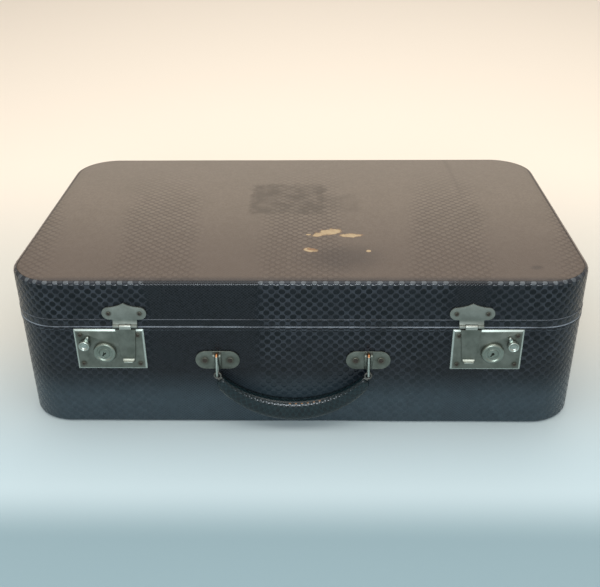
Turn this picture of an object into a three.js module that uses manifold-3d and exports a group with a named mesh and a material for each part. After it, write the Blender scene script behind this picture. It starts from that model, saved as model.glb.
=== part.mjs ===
// A small hard suitcase, lying on its bottom with its locks towards -Y.
// Millimetres, +Z up. The origin is the middle of the bottom face, and left is -X.
import * as THREE from "three";
import { mergeVertices } from "three/addons/utils/BufferGeometryUtils.js";
import Module from "manifold-3d";

const wasm = await Module();
wasm.setup();

// ---- driving dimensions -------------------------------------------------------------------
const WIDTH = 457;
const DEPTH = 270.8;
const WALL_TOP = 132.3;
const CROWN = 3.4; // how far the lid's middle stands above its edge
const CORNER_R = 37.7; // in plan
const PARTING = 93.6; // where the lid meets the base
const GAP = 0.3; // between pieces that touch on the real case

const COVERING = 1.0; // embossed leathercloth
const BOARD = 3.5; // fibreboard shell
const LINING = 0.6;
const LIP = 1.5; // closing lip inside the base's rim
const LIP_RISE = 8;
const LIP_DROP = 24;
const EDGE_BEVEL = 2.4; // roll of the lid's top edge
const RIM_BAND_LID = 6.1; // binding strip along each rim
const RIM_BAND_BASE = 3.6;
const TURN_IN = 2.8; // wall covering folded over the lid's top edge

// insets from the outer face, outside to inside
const BOARD_OUT = COVERING + GAP;
const BOARD_IN = BOARD_OUT + BOARD;
const LINING_OUT = BOARD_IN + GAP;
const LINING_IN = LINING_OUT + LINING;
const LIP_OUT = LINING_IN + GAP;
const LIP_IN = LIP_OUT + LIP;

// locks: u runs outwards from the plate's middle, h outwards from the wall's face
const LOCK_X = 149;
const LOCK_MIDDLE = -0.8; // both locks sit this far off the case's middle
const PLATE_W = 55.5;
const PLATE_LOW = 54.7;
const PLATE_HIGH = 91.5;
const PLATE_H = 2.2;
const SHEET = 0.9;
const LOCK_RIVET_U = 22.85;
const LOCK_RIVET_Z = [60, 86.5];
const KEY_U = 4.5;
const KEY_Z = 71.2;
const PLUG_R = 4.2;
const SLEEVE_R = 5.6;
const BOSS_R = 9;
const BOSS_H = 5.5;
const BUTTON_U = 19.6;
const BUTTON_Z = 78.5;
const BUTTON_R = 4.3;
const TAIL = { u: -3, z: 6.6 }; // the bead at the tail's end, from the button's middle
const BUTTON_TRAVEL = 3;
const WINDOW = { u0: -18, u1: 26.4, z0: 64.8, z1: 82.2 }; // cut in the wall for the works
const PLUG_BACK = 4.6; // depth of the works behind the wall's face

// hasps
const HASP_U = -14;
const LEAF_HALF_HIGH = 8; // the leaf narrows downwards
const LEAF_HALF_LOW = 4.9;
const LEAF_LOW = 61.6;
const LEAF_TOP = 92.8;
const LEAF_T = 1.2;
const PIVOT_H = 2.6;
const PIVOT_Z = 94.9;
const BARREL_R = 1.6;
const BARREL_W = 19;
const MID_KNUCKLE = 9.2;
const PIN_R = 0.75;
const BORE_R = 1.05;
const HOOK_W = 3;
const HOOK_Z = [76, 81];
const HASP_RIVET_U = 12.15;
const HASP_RIVET_Z = 105.7;
const HASP_APEX = 114.8;

// handle and its fittings
const HANDLE_X = -5;
const FITTING_U = 60.2;
const FITTING_W = 35.5;
const FITTING_H = 16.5;
const FITTING_Z = 62.7;
const FITTING_RIVET_U = 10.1;
const BAR_H = 5.1;
const BAR_Z = 68.3;
const BAR_R = 0.8;
const RING_WIRE = 1.1;
const RING_TOP_R = 2.2;
const RING_FOOT_R = 3.6;
const FOOT_H = 6.5;
const FOOT_Z = 51.4; // middle of the wire at the ring's foot
const EYE_R = 2.6;
const EYE_WIRE = 0.8;
const GRIP_MID_Z = 18.3;
const GRIP_HALF_SPAN = 58;
const GRIP_MID = 9.3; // half-widths
const GRIP_END_BELOW = 6.2;
const GRIP_END_ABOVE = 3.3;
const GRIP_DEPTH = 11.4;
const CORE_HALF = 2;
const CORE_T = 1.6;

// back hinges
const HINGE_X = 149;
const HINGE_W = 30;
const HINGE_LEAF = 16;
const HINGE_AXIS_H = 1.9;
const HINGE_T = 1;
const HINGE_MID = 11.4;

const ARC = 3; // half the segments of a quarter turn
const FAR = 400; // reach of a cutting block

// ---- materials ----------------------------------------------------------------------------
function finish(color, roughness, metalness = 0) {
  return new THREE.MeshStandardMaterial({ color, roughness, metalness });
}
const LEATHERCLOTH = () => finish(0x282d32, 0.35);
const FADED_CLOTH = () => finish(0x80756a, 0.6);
const FIBREBOARD = () => finish(0x7a5f44, 0.9);
const LINING_PAPER = () => finish(0xb59f7d, 0.85);
const NICKEL = () => finish(0x8f9b96, 0.35, 1);
const STEEL = () => finish(0x6d706f, 0.45, 1);
const RUSTY_STEEL = () => finish(0x4a3a30, 0.7, 0.6);
const GRIP_LEATHER = () => finish(0x1c2826, 0.25);

// ---- solids from three.js geometry ----------------------------------------------------------
function solid(geometry) {
  const bare = geometry.clone();
  bare.deleteAttribute("normal");
  bare.deleteAttribute("uv");
  const merged = mergeVertices(bare, 1e-4);
  return new wasm.Manifold(
    new wasm.Mesh({
      numProp: 3,
      vertProperties: merged.attributes.position.array,
      triVerts: new Uint32Array(merged.index.array),
    }),
  );
}

function piece(name, body, material) {
  const made = body.getMesh();
  const geometry = new THREE.BufferGeometry();
  geometry.setAttribute("position", new THREE.BufferAttribute(made.vertProperties, 3));
  geometry.setIndex(new THREE.BufferAttribute(made.triVerts, 1));
  geometry.computeVertexNormals();
  const mesh = new THREE.Mesh(geometry, material);
  mesh.name = name;
  return mesh;
}

function block(x0, x1, y0, y1, z0, z1) {
  const geometry = new THREE.BoxGeometry(x1 - x0, y1 - y0, z1 - z0);
  return solid(geometry.translate((x0 + x1) / 2, (y0 + y1) / 2, (z0 + z1) / 2));
}

// A block given by u, by h outwards from the wall's face and by z.
function frontBlock(u0, u1, h0, h1, z0, z1) {
  return block(u0, u1, -h1, -h0, z0, z1);
}

// A shape drawn in u and z, standing from h0 to h1 off the wall's face.
function frontPlate(shape, h0, h1) {
  const options = { depth: h1 - h0, bevelEnabled: false, curveSegments: ARC };
  return solid(new THREE.ExtrudeGeometry(shape, options).rotateX(Math.PI / 2).translate(0, -h0, 0));
}

// A shape drawn in y and z, standing from x0 to x1.
function sidePlate(shape, x0, x1) {
  const options = { depth: x1 - x0, bevelEnabled: false, curveSegments: ARC };
  const geometry = new THREE.ExtrudeGeometry(shape, options);
  return solid(geometry.rotateX(Math.PI / 2).rotateZ(Math.PI / 2).translate(x0, 0, 0));
}

function polygon(points) {
  return new THREE.Shape(points.map(([a, b]) => new THREE.Vector2(a, b)));
}

// A round rod along the wall's outward direction, from h0 to h1.
function frontRod(u, z, radius, h0, h1, sides = 14) {
  const geometry = new THREE.CylinderGeometry(radius, radius, h1 - h0, sides);
  return solid(geometry.translate(u, -(h0 + h1) / 2, z));
}

// A round rod along X.
function crossRod(x0, x1, h, z, radius, sides = 12) {
  const geometry = new THREE.CylinderGeometry(radius, radius, x1 - x0, sides);
  return solid(geometry.rotateZ(Math.PI / 2).translate((x0 + x1) / 2, -h, z));
}

// A turned piece whose profile is given as [radius, h], on the outward axis through u, z.
function turned(u, z, profile, sides = 16) {
  const points = profile.map(([radius, h]) => new THREE.Vector2(radius, h));
  return solid(new THREE.LatheGeometry(points, sides).rotateX(Math.PI).translate(u, 0, z));
}

function joined(first, ...others) {
  return others.reduce((sum, other) => sum.add(other), first);
}

function cut(first, ...others) {
  return others.reduce((rest, other) => rest.subtract(other), first);
}

// ---- the case's plan outline ----------------------------------------------------------------
function outline(inset) {
  const x = WIDTH / 2 - inset;
  const y = DEPTH / 2 - inset;
  const r = CORNER_R - inset;
  const shape = new THREE.Shape();
  shape.absarc(x - r, y - r, r, 0, Math.PI / 2);
  shape.absarc(r - x, y - r, r, Math.PI / 2, Math.PI);
  shape.absarc(r - x, r - y, r, Math.PI, Math.PI * 1.5);
  shape.absarc(x - r, r - y, r, Math.PI * 1.5, Math.PI * 2);
  shape.closePath();
  return shape;
}

function slab(inset, z0, z1) {
  const options = { depth: z1 - z0, bevelEnabled: false, curveSegments: ARC };
  return solid(new THREE.ExtrudeGeometry(outline(inset), options).translate(0, 0, z0));
}

function band(insetOut, insetIn, z0, z1) {
  return slab(insetOut, z0, z1).subtract(slab(insetIn, z0 - 1, z1 + 1));
}

// A slab with its top edge rolled over by the bevel.
function rolledSlab(inset, z0, z1, bevel) {
  const options = {
    depth: z1 - z0,
    bevelThickness: bevel,
    bevelSize: bevel,
    bevelOffset: -bevel,
    bevelSegments: 2,
    curveSegments: ARC,
  };
  const geometry = new THREE.ExtrudeGeometry(outline(inset), options).translate(0, 0, z0 - bevel);
  return solid(geometry).subtract(block(-FAR, FAR, -FAR, FAR, z0 - 2 * bevel - 1, z0));
}

// A block as wide as the case whose top is crowned towards its middle and flat at its edges.
function crownBlock(top, height) {
  const geometry = new THREE.BoxGeometry(WIDTH + 2, DEPTH + 2, height, 8, 6, 1);
  const place = geometry.attributes.position;
  for (let i = 0; i < place.count; i += 1) {
    const a = Math.min(1, Math.abs(place.getX(i)) / (WIDTH / 2));
    const b = Math.min(1, Math.abs(place.getY(i)) / (DEPTH / 2));
    const lift = CROWN * (1 - a ** 4) * (1 - b ** 4);
    place.setZ(i, place.getZ(i) + top - height / 2 + lift);
  }
  return solid(geometry);
}

function crownSheet(z0, z1) {
  return crownBlock(z1, 20).subtract(crownBlock(z0, 40));
}

// Cutters through the front wall for windows, rivets and the like.
function lockWindows() {
  const { u0, u1, z0, z1 } = WINDOW;
  const y = -DEPTH / 2;
  const right = block(LOCK_X + u0, LOCK_X + u1, y - 1, y + BOARD_IN + 0.1, z0, z1);
  const left = block(-LOCK_X - u1, -LOCK_X - u0, y - 1, y + BOARD_IN + 0.1, z0, z1);
  return right.add(left).translate([LOCK_MIDDLE, 0, 0]);
}

function wallHole(x, z, radius) {
  return frontRod(x, z, radius, -BOARD_IN - 0.1, 1, 8).translate([0, -DEPTH / 2, 0]);
}

const SIDES = [
  { side: "left", sign: -1 },
  { side: "right", sign: 1 },
];
const SMALL_RIVET = { head: 1.4, pit: 0.9, shank: 0.85, hole: 1.2 };
const BIG_RIVET = { head: 2.9, pit: 1.7, shank: 1.4, hole: 1.75 };
const RIVET_REACH = 4.4; // how deep a shank goes into the wall

function baseHoles() {
  const holes = [];
  for (const { sign } of SIDES) {
    for (const z of LOCK_RIVET_Z) {
      holes.push(wallHole(LOCK_MIDDLE + sign * (LOCK_X - LOCK_RIVET_U), z, SMALL_RIVET.hole));
      holes.push(wallHole(LOCK_MIDDLE + sign * (LOCK_X + LOCK_RIVET_U), z, SMALL_RIVET.hole));
    }
    const x = HANDLE_X + sign * FITTING_U;
    holes.push(wallHole(x - FITTING_RIVET_U, FITTING_Z, BIG_RIVET.hole));
    holes.push(wallHole(x + FITTING_RIVET_U, FITTING_Z, BIG_RIVET.hole));
  }
  return joined(lockWindows(), ...holes);
}

function lidHoles() {
  const holes = [];
  for (const { sign } of SIDES) {
    const x = LOCK_MIDDLE + sign * (LOCK_X + HASP_U);
    holes.push(wallHole(x - HASP_RIVET_U, HASP_RIVET_Z, SMALL_RIVET.hole));
    holes.push(wallHole(x + HASP_RIVET_U, HASP_RIVET_Z, SMALL_RIVET.hole));
  }
  return joined(...holes);
}

// ---- base shell -----------------------------------------------------------------------------
const BASE_RIM = PARTING - GAP / 2;
const LID_RIM = PARTING + GAP / 2;
const BASE_BAND_LOW = BASE_RIM - RIM_BAND_BASE;
const LID_BAND_HIGH = LID_RIM + RIM_BAND_LID;

function baseShell() {
  const holes = baseHoles();
  const boardTop = BASE_RIM - COVERING - GAP;
  const covering = cut(band(0, COVERING, 0, BASE_BAND_LOW - GAP), holes);
  const wall = cut(band(BOARD_OUT, BOARD_IN, BOARD_OUT, boardTop), holes);
  const bottomTop = BOARD_OUT + BOARD;
  const tray = slab(LINING_OUT, bottomTop + GAP, BASE_BAND_LOW - GAP);
  const hollow = slab(LINING_IN, bottomTop + GAP + LINING, BASE_RIM);
  return [
    piece("base_wall_covering", covering, LEATHERCLOTH()),
    piece("base_bottom_covering", slab(BOARD_OUT, 0, COVERING), LEATHERCLOTH()),
    piece("base_wall", wall, FIBREBOARD()),
    piece("base_bottom", slab(LINING_OUT, BOARD_OUT, bottomTop), FIBREBOARD()),
    piece("base_lining", cut(tray, hollow), LINING_PAPER()),
    piece("base_rim_binding", rimBinding(BASE_BAND_LOW, BASE_RIM, -1), LEATHERCLOTH()),
    piece("closing_lip", band(LIP_OUT, LIP_IN, PARTING - LIP_DROP, PARTING + LIP_RISE), FADED_CLOTH()),
  ];
}

// A strip folded over a rim: towards is -1 under the base's parting face, +1 over the lid's.
function rimBinding(z0, z1, towards) {
  const strip = band(0, LINING_IN, z0, z1);
  const room = { low: z0 + (towards > 0 ? COVERING : -1), high: z1 + (towards > 0 ? 1 : -COVERING) };
  return cut(strip, band(COVERING, LINING_OUT, room.low, room.high));
}

// ---- lid shell ------------------------------------------------------------------------------
const PANEL_TOP = WALL_TOP - COVERING - GAP;
const PANEL_LOW = PANEL_TOP - 2.5;
const LID_LINING_TOP = PANEL_LOW - GAP;

function lidWallCovering() {
  const z0 = LID_BAND_HIGH + GAP;
  const outside = rolledSlab(0, z0, WALL_TOP, EDGE_BEVEL);
  const room = rolledSlab(COVERING, z0 - 1, WALL_TOP - COVERING, EDGE_BEVEL - COVERING);
  return cut(outside, room, slab(TURN_IN, z0, WALL_TOP + 1), lidHoles());
}

function lidWall() {
  const z0 = LID_RIM + COVERING + GAP;
  const outside = rolledSlab(BOARD_OUT, z0, PANEL_TOP, EDGE_BEVEL - COVERING);
  return cut(outside, slab(BOARD_IN, z0 - 1, WALL_TOP), lidHoles());
}

function lidShell() {
  const skin = crownSheet(PANEL_TOP + GAP, WALL_TOP);
  const middle = slab(TURN_IN + GAP, PANEL_LOW, WALL_TOP + CROWN + 1);
  const panel = crownSheet(PANEL_LOW, PANEL_TOP);
  const liningWalls = band(LINING_OUT, LINING_IN, LID_BAND_HIGH + GAP, LID_LINING_TOP);
  const liningTop = slab(LINING_OUT, LID_LINING_TOP - LINING, LID_LINING_TOP);
  const inside = slab(LINING_OUT, LID_RIM, WALL_TOP + CROWN);
  return [
    piece("lid_wall_covering", lidWallCovering(), LEATHERCLOTH()),
    piece("lid_top_covering", skin.intersect(middle), FADED_CLOTH()),
    piece("lid_wall", lidWall(), FIBREBOARD()),
    piece("lid_top_panel", panel.intersect(inside), FIBREBOARD()),
    piece("lid_lining", liningWalls.add(liningTop), LINING_PAPER()),
    piece("lid_rim_binding", rimBinding(LID_RIM, LID_BAND_HIGH, 1), LEATHERCLOTH()),
  ];
}

// ---- rivets ---------------------------------------------------------------------------------
// A tubular rivet with a pit in its head, its head resting on a face at h.
function rivet(name, u, z, h, { head, pit, shank }) {
  const low = h + GAP;
  const profile = [
    [0, -RIVET_REACH],
    [shank, -RIVET_REACH],
    [shank, low],
    [head, low],
    [head * 0.85, low + 0.5],
    [pit, low + 0.6],
    [pit * 0.6, low - 0.1],
    [0, low - 0.2],
  ];
  return piece(name, turned(u, z, profile, 8), RUSTY_STEEL());
}

// ---- locks ----------------------------------------------------------------------------------
function lockPlate() {
  const half = PLATE_W / 2;
  const border = 1.6;
  const shape = polygon([[-half, PLATE_LOW], [half, PLATE_LOW], [half, PLATE_HIGH], [-half, PLATE_HIGH]]);
  const options = {
    depth: PLATE_H - GAP - border / 2,
    bevelThickness: border / 2,
    bevelSize: border,
    bevelOffset: -border,
    bevelSegments: 1,
  };
  const pressed = new THREE.ExtrudeGeometry(shape, options).rotateX(Math.PI / 2).translate(0, -GAP, 0);
  const face = cut(solid(pressed), frontBlock(-FAR, FAR, -FAR, GAP, 0, FAR));
  const rim = 2.6;
  const hollow = frontBlock(rim - half, half - rim, 0, PLATE_H - SHEET, PLATE_LOW + rim, PLATE_HIGH - rim);
  const slot = BUTTON_R * 0.45;
  const notchSide = HOOK_W / 2 + 0.5;
  const notchTop = PLATE_HIGH + 1;
  const holes = [
    frontRod(KEY_U, KEY_Z, SLEEVE_R + GAP, 0, PLATE_H + 1, 16),
    frontBlock(BUTTON_U - slot, BUTTON_U + BUTTON_TRAVEL + slot, 0, 3, BUTTON_Z - slot, BUTTON_Z + slot),
    frontBlock(HASP_U - notchSide, HASP_U + notchSide, 0, 3, HOOK_Z[0] - 1, notchTop),
  ];
  for (const z of LOCK_RIVET_Z) {
    holes.push(frontRod(-LOCK_RIVET_U, z, SMALL_RIVET.hole, 0, 3, 8));
    holes.push(frontRod(LOCK_RIVET_U, z, SMALL_RIVET.hole, 0, 3, 8));
  }
  return cut(face, hollow, ...holes);
}

// The barrel housing: a sleeve through the plate under a raised round face.
function keyBoss() {
  const bore = PLUG_R + GAP;
  const low = PLATE_H + GAP;
  const profile = [
    [bore, 1 - PLUG_BACK],
    [SLEEVE_R, 1 - PLUG_BACK],
    [SLEEVE_R, low],
    [BOSS_R, low],
    [BOSS_R, BOSS_H - 1.2],
    [BOSS_R - 0.4, BOSS_H - 0.4],
    [BOSS_R - 1.2, BOSS_H],
    [bore, BOSS_H],
    [bore, 1 - PLUG_BACK],
  ];
  return turned(KEY_U, KEY_Z, profile, 20);
}

// The plug with its keyhole and, at the back, the cam that works the bolt.
function keyPlug(slant) {
  const front = BOSS_H - 0.2;
  const plug = turned(KEY_U, KEY_Z, [[0, -PLUG_BACK], [PLUG_R, -PLUG_BACK], [PLUG_R, front], [0, front]], 16);
  const slot = frontBlock(-0.55, 0.55, 1, BOSS_H + 1, -2.9, 0).rotate([0, slant, 0]);
  const keyhole = frontRod(0, 0, 1.15, 1, BOSS_H + 1, 8).add(slot).translate([KEY_U, 0, KEY_Z]);
  const cam = frontBlock(KEY_U - 1.6, KEY_U + 1.6, -PLUG_BACK, -PLUG_BACK + 0.7, KEY_Z - 5, KEY_Z);
  return cut(plug, keyhole).add(cam);
}

// A round thumb piece with a small tail that ends in a bead.
function lockButton() {
  const low = PLATE_H + 0.8;
  const high = low + 4.2;
  const profile = [
    [0, 1.3],
    [1.5, 1.3],
    [1.5, low],
    [BUTTON_R - 0.6, low],
    [BUTTON_R, low + 1],
    [BUTTON_R, low + 2.6],
    [BUTTON_R - 1.2, high - 0.4],
    [0, high],
  ];
  const head = turned(BUTTON_U, BUTTON_Z, profile, 16);
  const bead = { u: BUTTON_U + TAIL.u, z: BUTTON_Z + TAIL.z };
  const tail = polygon([
    [BUTTON_U - 1.6, BUTTON_Z],
    [BUTTON_U + 1.2, BUTTON_Z + 1],
    [bead.u + 0.9, bead.z],
    [bead.u - 0.9, bead.z - 0.4],
  ]);
  const ball = solid(new THREE.SphereGeometry(1.3, 8, 6).translate(bead.u, -(low + 1.1), bead.z));
  return joined(head, frontPlate(tail, low + 0.2, low + 1.6), ball);
}

const BOLT_Z = [BUTTON_Z - 1.3, BUTTON_Z + 2.4];
const LUG_U = 11.4;
const SPRING_Z = 73.6;
const SPRING_R = 1.3;

// The sliding bolt: its nose holds the hasp's hook, its lug takes the spring.
function lockBolt() {
  const nose = HASP_U + HOOK_W / 2 + 0.4;
  const bar = frontBlock(nose, BUTTON_U + 2, -0.2, 1, BOLT_Z[0], BOLT_Z[1]);
  const lug = frontBlock(LUG_U, LUG_U + 1.2, -2.2, 1, SPRING_Z - 1.6, BOLT_Z[0] + 0.5);
  return bar.add(lug);
}

function lockSpring() {
  const turns = 5;
  const stepsPerTurn = 8;
  const start = LUG_U + 1.8;
  const length = WINDOW.u1 - 0.6 - start;
  const points = [];
  for (let i = 0; i <= turns * stepsPerTurn; i += 1) {
    const angle = (i / stepsPerTurn) * Math.PI * 2;
    const u = start + (length * i) / (turns * stepsPerTurn);
    const y = 0.6 + SPRING_R * Math.cos(angle);
    points.push(new THREE.Vector3(u, y, SPRING_Z + SPRING_R * Math.sin(angle)));
  }
  const wire = new THREE.Shape();
  wire.absarc(0, 0, 0.25, 0, Math.PI * 2);
  const options = {
    steps: turns * stepsPerTurn,
    extrudePath: new THREE.CatmullRomCurve3(points),
    curveSegments: 2,
  };
  return solid(new THREE.ExtrudeGeometry(wire, options));
}

const KEYHOLE_SLANT = 35;

function lock({ side, sign }) {
  const group = new THREE.Group();
  group.position.x = LOCK_MIDDLE + sign * LOCK_X;
  group.scale.x = sign;
  group.add(piece(`lock_plate_${side}`, lockPlate(), NICKEL()));
  group.add(piece(`key_boss_${side}`, keyBoss(), NICKEL()));
  group.add(piece(`key_plug_${side}`, keyPlug(sign * KEYHOLE_SLANT), STEEL()));
  group.add(piece(`lock_button_${side}`, lockButton(), NICKEL()));
  group.add(piece(`lock_bolt_${side}`, lockBolt(), STEEL()));
  group.add(piece(`lock_spring_${side}`, lockSpring(), STEEL()));
  const corners = [
    ["low_inner", -1, 0],
    ["low_outer", 1, 0],
    ["high_inner", -1, 1],
    ["high_outer", 1, 1],
  ];
  for (const [corner, across, level] of corners) {
    const u = across * LOCK_RIVET_U;
    group.add(rivet(`lock_rivet_${side}_${corner}`, u, LOCK_RIVET_Z[level], PLATE_H, SMALL_RIVET));
  }
  return group;
}

// ---- hasps ----------------------------------------------------------------------------------
const HASP_PLATE_H = 1.5;

function haspPlate() {
  const neck = BARREL_W / 2;
  const end = { u: 12, r: 5.4, z: HASP_RIVET_Z };
  const shape = new THREE.Shape();
  shape.moveTo(-neck, PIVOT_Z);
  shape.lineTo(neck, PIVOT_Z);
  shape.lineTo(neck, end.z - end.r);
  shape.absarc(end.u, end.z, end.r, -Math.PI / 2, Math.PI / 2);
  shape.quadraticCurveTo(5, end.z + end.r + 0.6, 0, HASP_APEX);
  shape.quadraticCurveTo(-5, end.z + end.r + 0.6, -end.u, end.z + end.r);
  shape.absarc(-end.u, end.z, end.r, Math.PI / 2, Math.PI * 1.5);
  shape.lineTo(-neck, end.z - end.r);
  shape.closePath();
  const half = MID_KNUCKLE / 2 + GAP;
  return cut(
    frontPlate(shape, GAP, HASP_PLATE_H).add(crossRod(-neck, neck, PIVOT_H, PIVOT_Z, BARREL_R)),
    frontBlock(-half, half, 0, 6, 0, PIVOT_Z + BARREL_R + GAP),
    crossRod(-20, 20, PIVOT_H, PIVOT_Z, BORE_R),
    frontRod(-HASP_RIVET_U, HASP_RIVET_Z, SMALL_RIVET.hole, 0, 3, 8),
    frontRod(HASP_RIVET_U, HASP_RIVET_Z, SMALL_RIVET.hole, 0, 3, 8),
  );
}

// The swinging leaf: knuckle, flat blade, hook behind it and a lip to lift it by.
function haspLeaf() {
  const back = PLATE_H + GAP;
  const front = back + LEAF_T;
  const outline = polygon([
    [-LEAF_HALF_LOW, LEAF_LOW],
    [LEAF_HALF_LOW, LEAF_LOW],
    [LEAF_HALF_HIGH, LEAF_TOP],
    [-LEAF_HALF_HIGH, LEAF_TOP],
  ]);
  const blade = frontPlate(outline, back, front);
  const half = MID_KNUCKLE / 2;
  const tongue = frontBlock(-half, half, back, front, LEAF_TOP - 1, PIVOT_Z);
  const barrel = crossRod(-half, half, PIVOT_H, PIVOT_Z, BARREL_R);
  const hook = frontBlock(-HOOK_W / 2, HOOK_W / 2, 0.3, back + 0.5, HOOK_Z[0], HOOK_Z[1]);
  const lipSide = polygon([
    [-back, LEAF_LOW + 3.4],
    [-front, LEAF_LOW + 3.4],
    [-front - 1.4, LEAF_LOW + 2.5],
    [-front - 3, LEAF_LOW + 1.9],
    [-front - 3.2, LEAF_LOW + 0.9],
    [-front - 0.9, LEAF_LOW + 1],
    [-back, LEAF_LOW + 0.5],
  ]);
  const bore = crossRod(-20, 20, PIVOT_H, PIVOT_Z, BORE_R);
  const lip = sidePlate(lipSide, -4.8, 4.8);
  return cut(joined(blade, tongue, barrel, hook, lip), bore);
}

function hasp({ side, sign }) {
  const group = new THREE.Group();
  group.position.x = LOCK_MIDDLE + sign * (LOCK_X + HASP_U);
  group.add(piece(`hasp_plate_${side}`, haspPlate(), NICKEL()));
  group.add(piece(`hasp_leaf_${side}`, haspLeaf(), NICKEL()));
  const reach = BARREL_W / 2 - GAP;
  group.add(piece(`hasp_pin_${side}`, crossRod(-reach, reach, PIVOT_H, PIVOT_Z, PIN_R), STEEL()));
  for (const [end, across] of [["a", -1], ["b", 1]]) {
    const u = across * HASP_RIVET_U;
    group.add(rivet(`hasp_rivet_${side}_${end}`, u, HASP_RIVET_Z, HASP_PLATE_H, SMALL_RIVET));
  }
  return group;
}

// ---- handle ---------------------------------------------------------------------------------
const FITTING_PLATE_H = 1.5;
const GROOVE = 1.5; // half the room that the ring hangs in
const CHEEK = 1.8;

function handlePlate() {
  const r = FITTING_H / 2;
  const straight = FITTING_W / 2 - r;
  const shape = new THREE.Shape();
  shape.absarc(straight, FITTING_Z, r, -Math.PI / 2, Math.PI / 2);
  shape.absarc(-straight, FITTING_Z, r, Math.PI / 2, Math.PI * 1.5);
  shape.closePath();
  const cheek = polygon([
    [-1, BAR_Z - 13.1],
    [-2.3, BAR_Z - 13.1],
    [-4.4, BAR_Z - 9.3],
    [-6.2, BAR_Z - 3.3],
    [-6.5, BAR_Z],
    [-6.1, BAR_Z + 1.7],
    [-5.2, BAR_Z + 2.3],
    [-1, BAR_Z + 2.3],
  ]);
  return cut(
    joined(
      frontPlate(shape, GAP, FITTING_PLATE_H),
      sidePlate(cheek, -GROOVE - CHEEK, -GROOVE),
      sidePlate(cheek, GROOVE, GROOVE + CHEEK),
      crossRod(-GROOVE - 1, GROOVE + 1, BAR_H, BAR_Z, BAR_R, 8),
    ),
    frontRod(-FITTING_RIVET_U, FITTING_Z, BIG_RIVET.hole, 0, 3, 8),
    frontRod(FITTING_RIVET_U, FITTING_Z, BIG_RIVET.hole, 0, 3, 8),
  );
}

// A wire loop in the Y-Z plane: a small bend over the bar, a wider one at its foot.
// A torus is drawn out so that each part of it runs round the nearer bend.
function handleRing() {
  const top = { y: -BAR_H, z: BAR_Z, r: RING_TOP_R };
  const foot = { y: -FOOT_H, z: FOOT_Z + RING_FOOT_R, r: RING_FOOT_R };
  const geometry = new THREE.TorusGeometry(10, RING_WIRE, 8, 24);
  const place = geometry.attributes.position;
  for (let i = 0; i < place.count; i += 1) {
    const reach = Math.hypot(place.getX(i), place.getY(i));
    const c = place.getX(i) / reach;
    const s = place.getY(i) / reach;
    const lead = (top.y - foot.y) * c + (top.z - foot.z) * s + top.r - foot.r;
    const bend = lead > 1e-3 ? top : foot;
    const out = bend.r + reach - 10;
    place.setXYZ(i, place.getZ(i), bend.y + out * c, bend.z + out * s);
  }
  return solid(geometry);
}

// The grip's middle line is an arc from eye to eye.
const EYE_SAG = FOOT_Z - GRIP_MID_Z;
const GRIP_R = (FITTING_U ** 2 + EYE_SAG ** 2) / (2 * EYE_SAG);
const GRIP_CENTRE_Z = GRIP_MID_Z + GRIP_R;

function gripPoint(angle, outwards) {
  const r = GRIP_R + outwards;
  return new THREE.Vector2(r * Math.sin(angle), GRIP_CENTRE_Z - r * Math.cos(angle));
}

// A curved strip along the middle line, as wide below and above it as the two functions say.
function gripShape(reach, steps, below, above = below) {
  const outer = [];
  const inner = [];
  for (let i = 0; i <= steps; i += 1) {
    const angle = reach * ((2 * i) / steps - 1);
    outer.push(gripPoint(angle, below(angle)));
    inner.unshift(gripPoint(angle, -above(angle)));
  }
  return new THREE.Shape([...outer, ...inner]);
}

const GRIP_REACH = Math.asin(GRIP_HALF_SPAN / GRIP_R);
const EYE_REACH = Math.asin(FITTING_U / GRIP_R);

// A half-width that swells from its end value to the middle's.
function swellingFrom(end) {
  return (angle) => end + (GRIP_MID - end) * Math.max(0, Math.cos((angle / GRIP_REACH) * (Math.PI / 2)));
}

function handleCover() {
  const roll = 2.4;
  const options = {
    depth: GRIP_DEPTH - 2 * roll,
    bevelThickness: roll,
    bevelSize: roll,
    bevelOffset: -roll,
    bevelSegments: 2,
  };
  const shape = gripShape(GRIP_REACH, 18, swellingFrom(GRIP_END_BELOW), swellingFrom(GRIP_END_ABOVE));
  const skin = new THREE.ExtrudeGeometry(shape, options).rotateX(Math.PI / 2);
  skin.translate(0, -FOOT_H + GRIP_DEPTH / 2 - roll, 0);
  const tunnel = gripShape(EYE_REACH, 18, () => CORE_HALF + GAP);
  const half = CORE_T / 2 + GAP;
  return cut(solid(skin), frontPlate(tunnel, FOOT_H - half, FOOT_H + half));
}

// A sprung steel strip with an eye at each end.
function handleCore() {
  const strip = gripShape(EYE_REACH - EYE_R / GRIP_R, 18, () => CORE_HALF);
  const eyes = SIDES.map(({ sign }) => {
    const torus = new THREE.TorusGeometry(EYE_R, EYE_WIRE, 8, 14);
    return solid(torus.rotateX(Math.PI / 2).translate(sign * FITTING_U, -FOOT_H, FOOT_Z));
  });
  return joined(frontPlate(strip, FOOT_H - CORE_T / 2, FOOT_H + CORE_T / 2), ...eyes);
}

function handle() {
  const group = new THREE.Group();
  group.position.x = HANDLE_X;
  for (const { side, sign } of SIDES) {
    const fitting = new THREE.Group();
    fitting.position.x = sign * FITTING_U;
    fitting.add(piece(`handle_plate_${side}`, handlePlate(), NICKEL()));
    fitting.add(piece(`handle_ring_${side}`, handleRing(), NICKEL()));
    for (const [end, across] of [["a", -1], ["b", 1]]) {
      const u = across * FITTING_RIVET_U;
      fitting.add(rivet(`handle_rivet_${side}_${end}`, u, FITTING_Z, FITTING_PLATE_H, BIG_RIVET));
    }
    group.add(fitting);
  }
  group.add(piece("handle_core", handleCore(), STEEL()));
  group.add(piece("handle_cover", handleCover(), GRIP_LEATHER()));
  return group;
}

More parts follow.
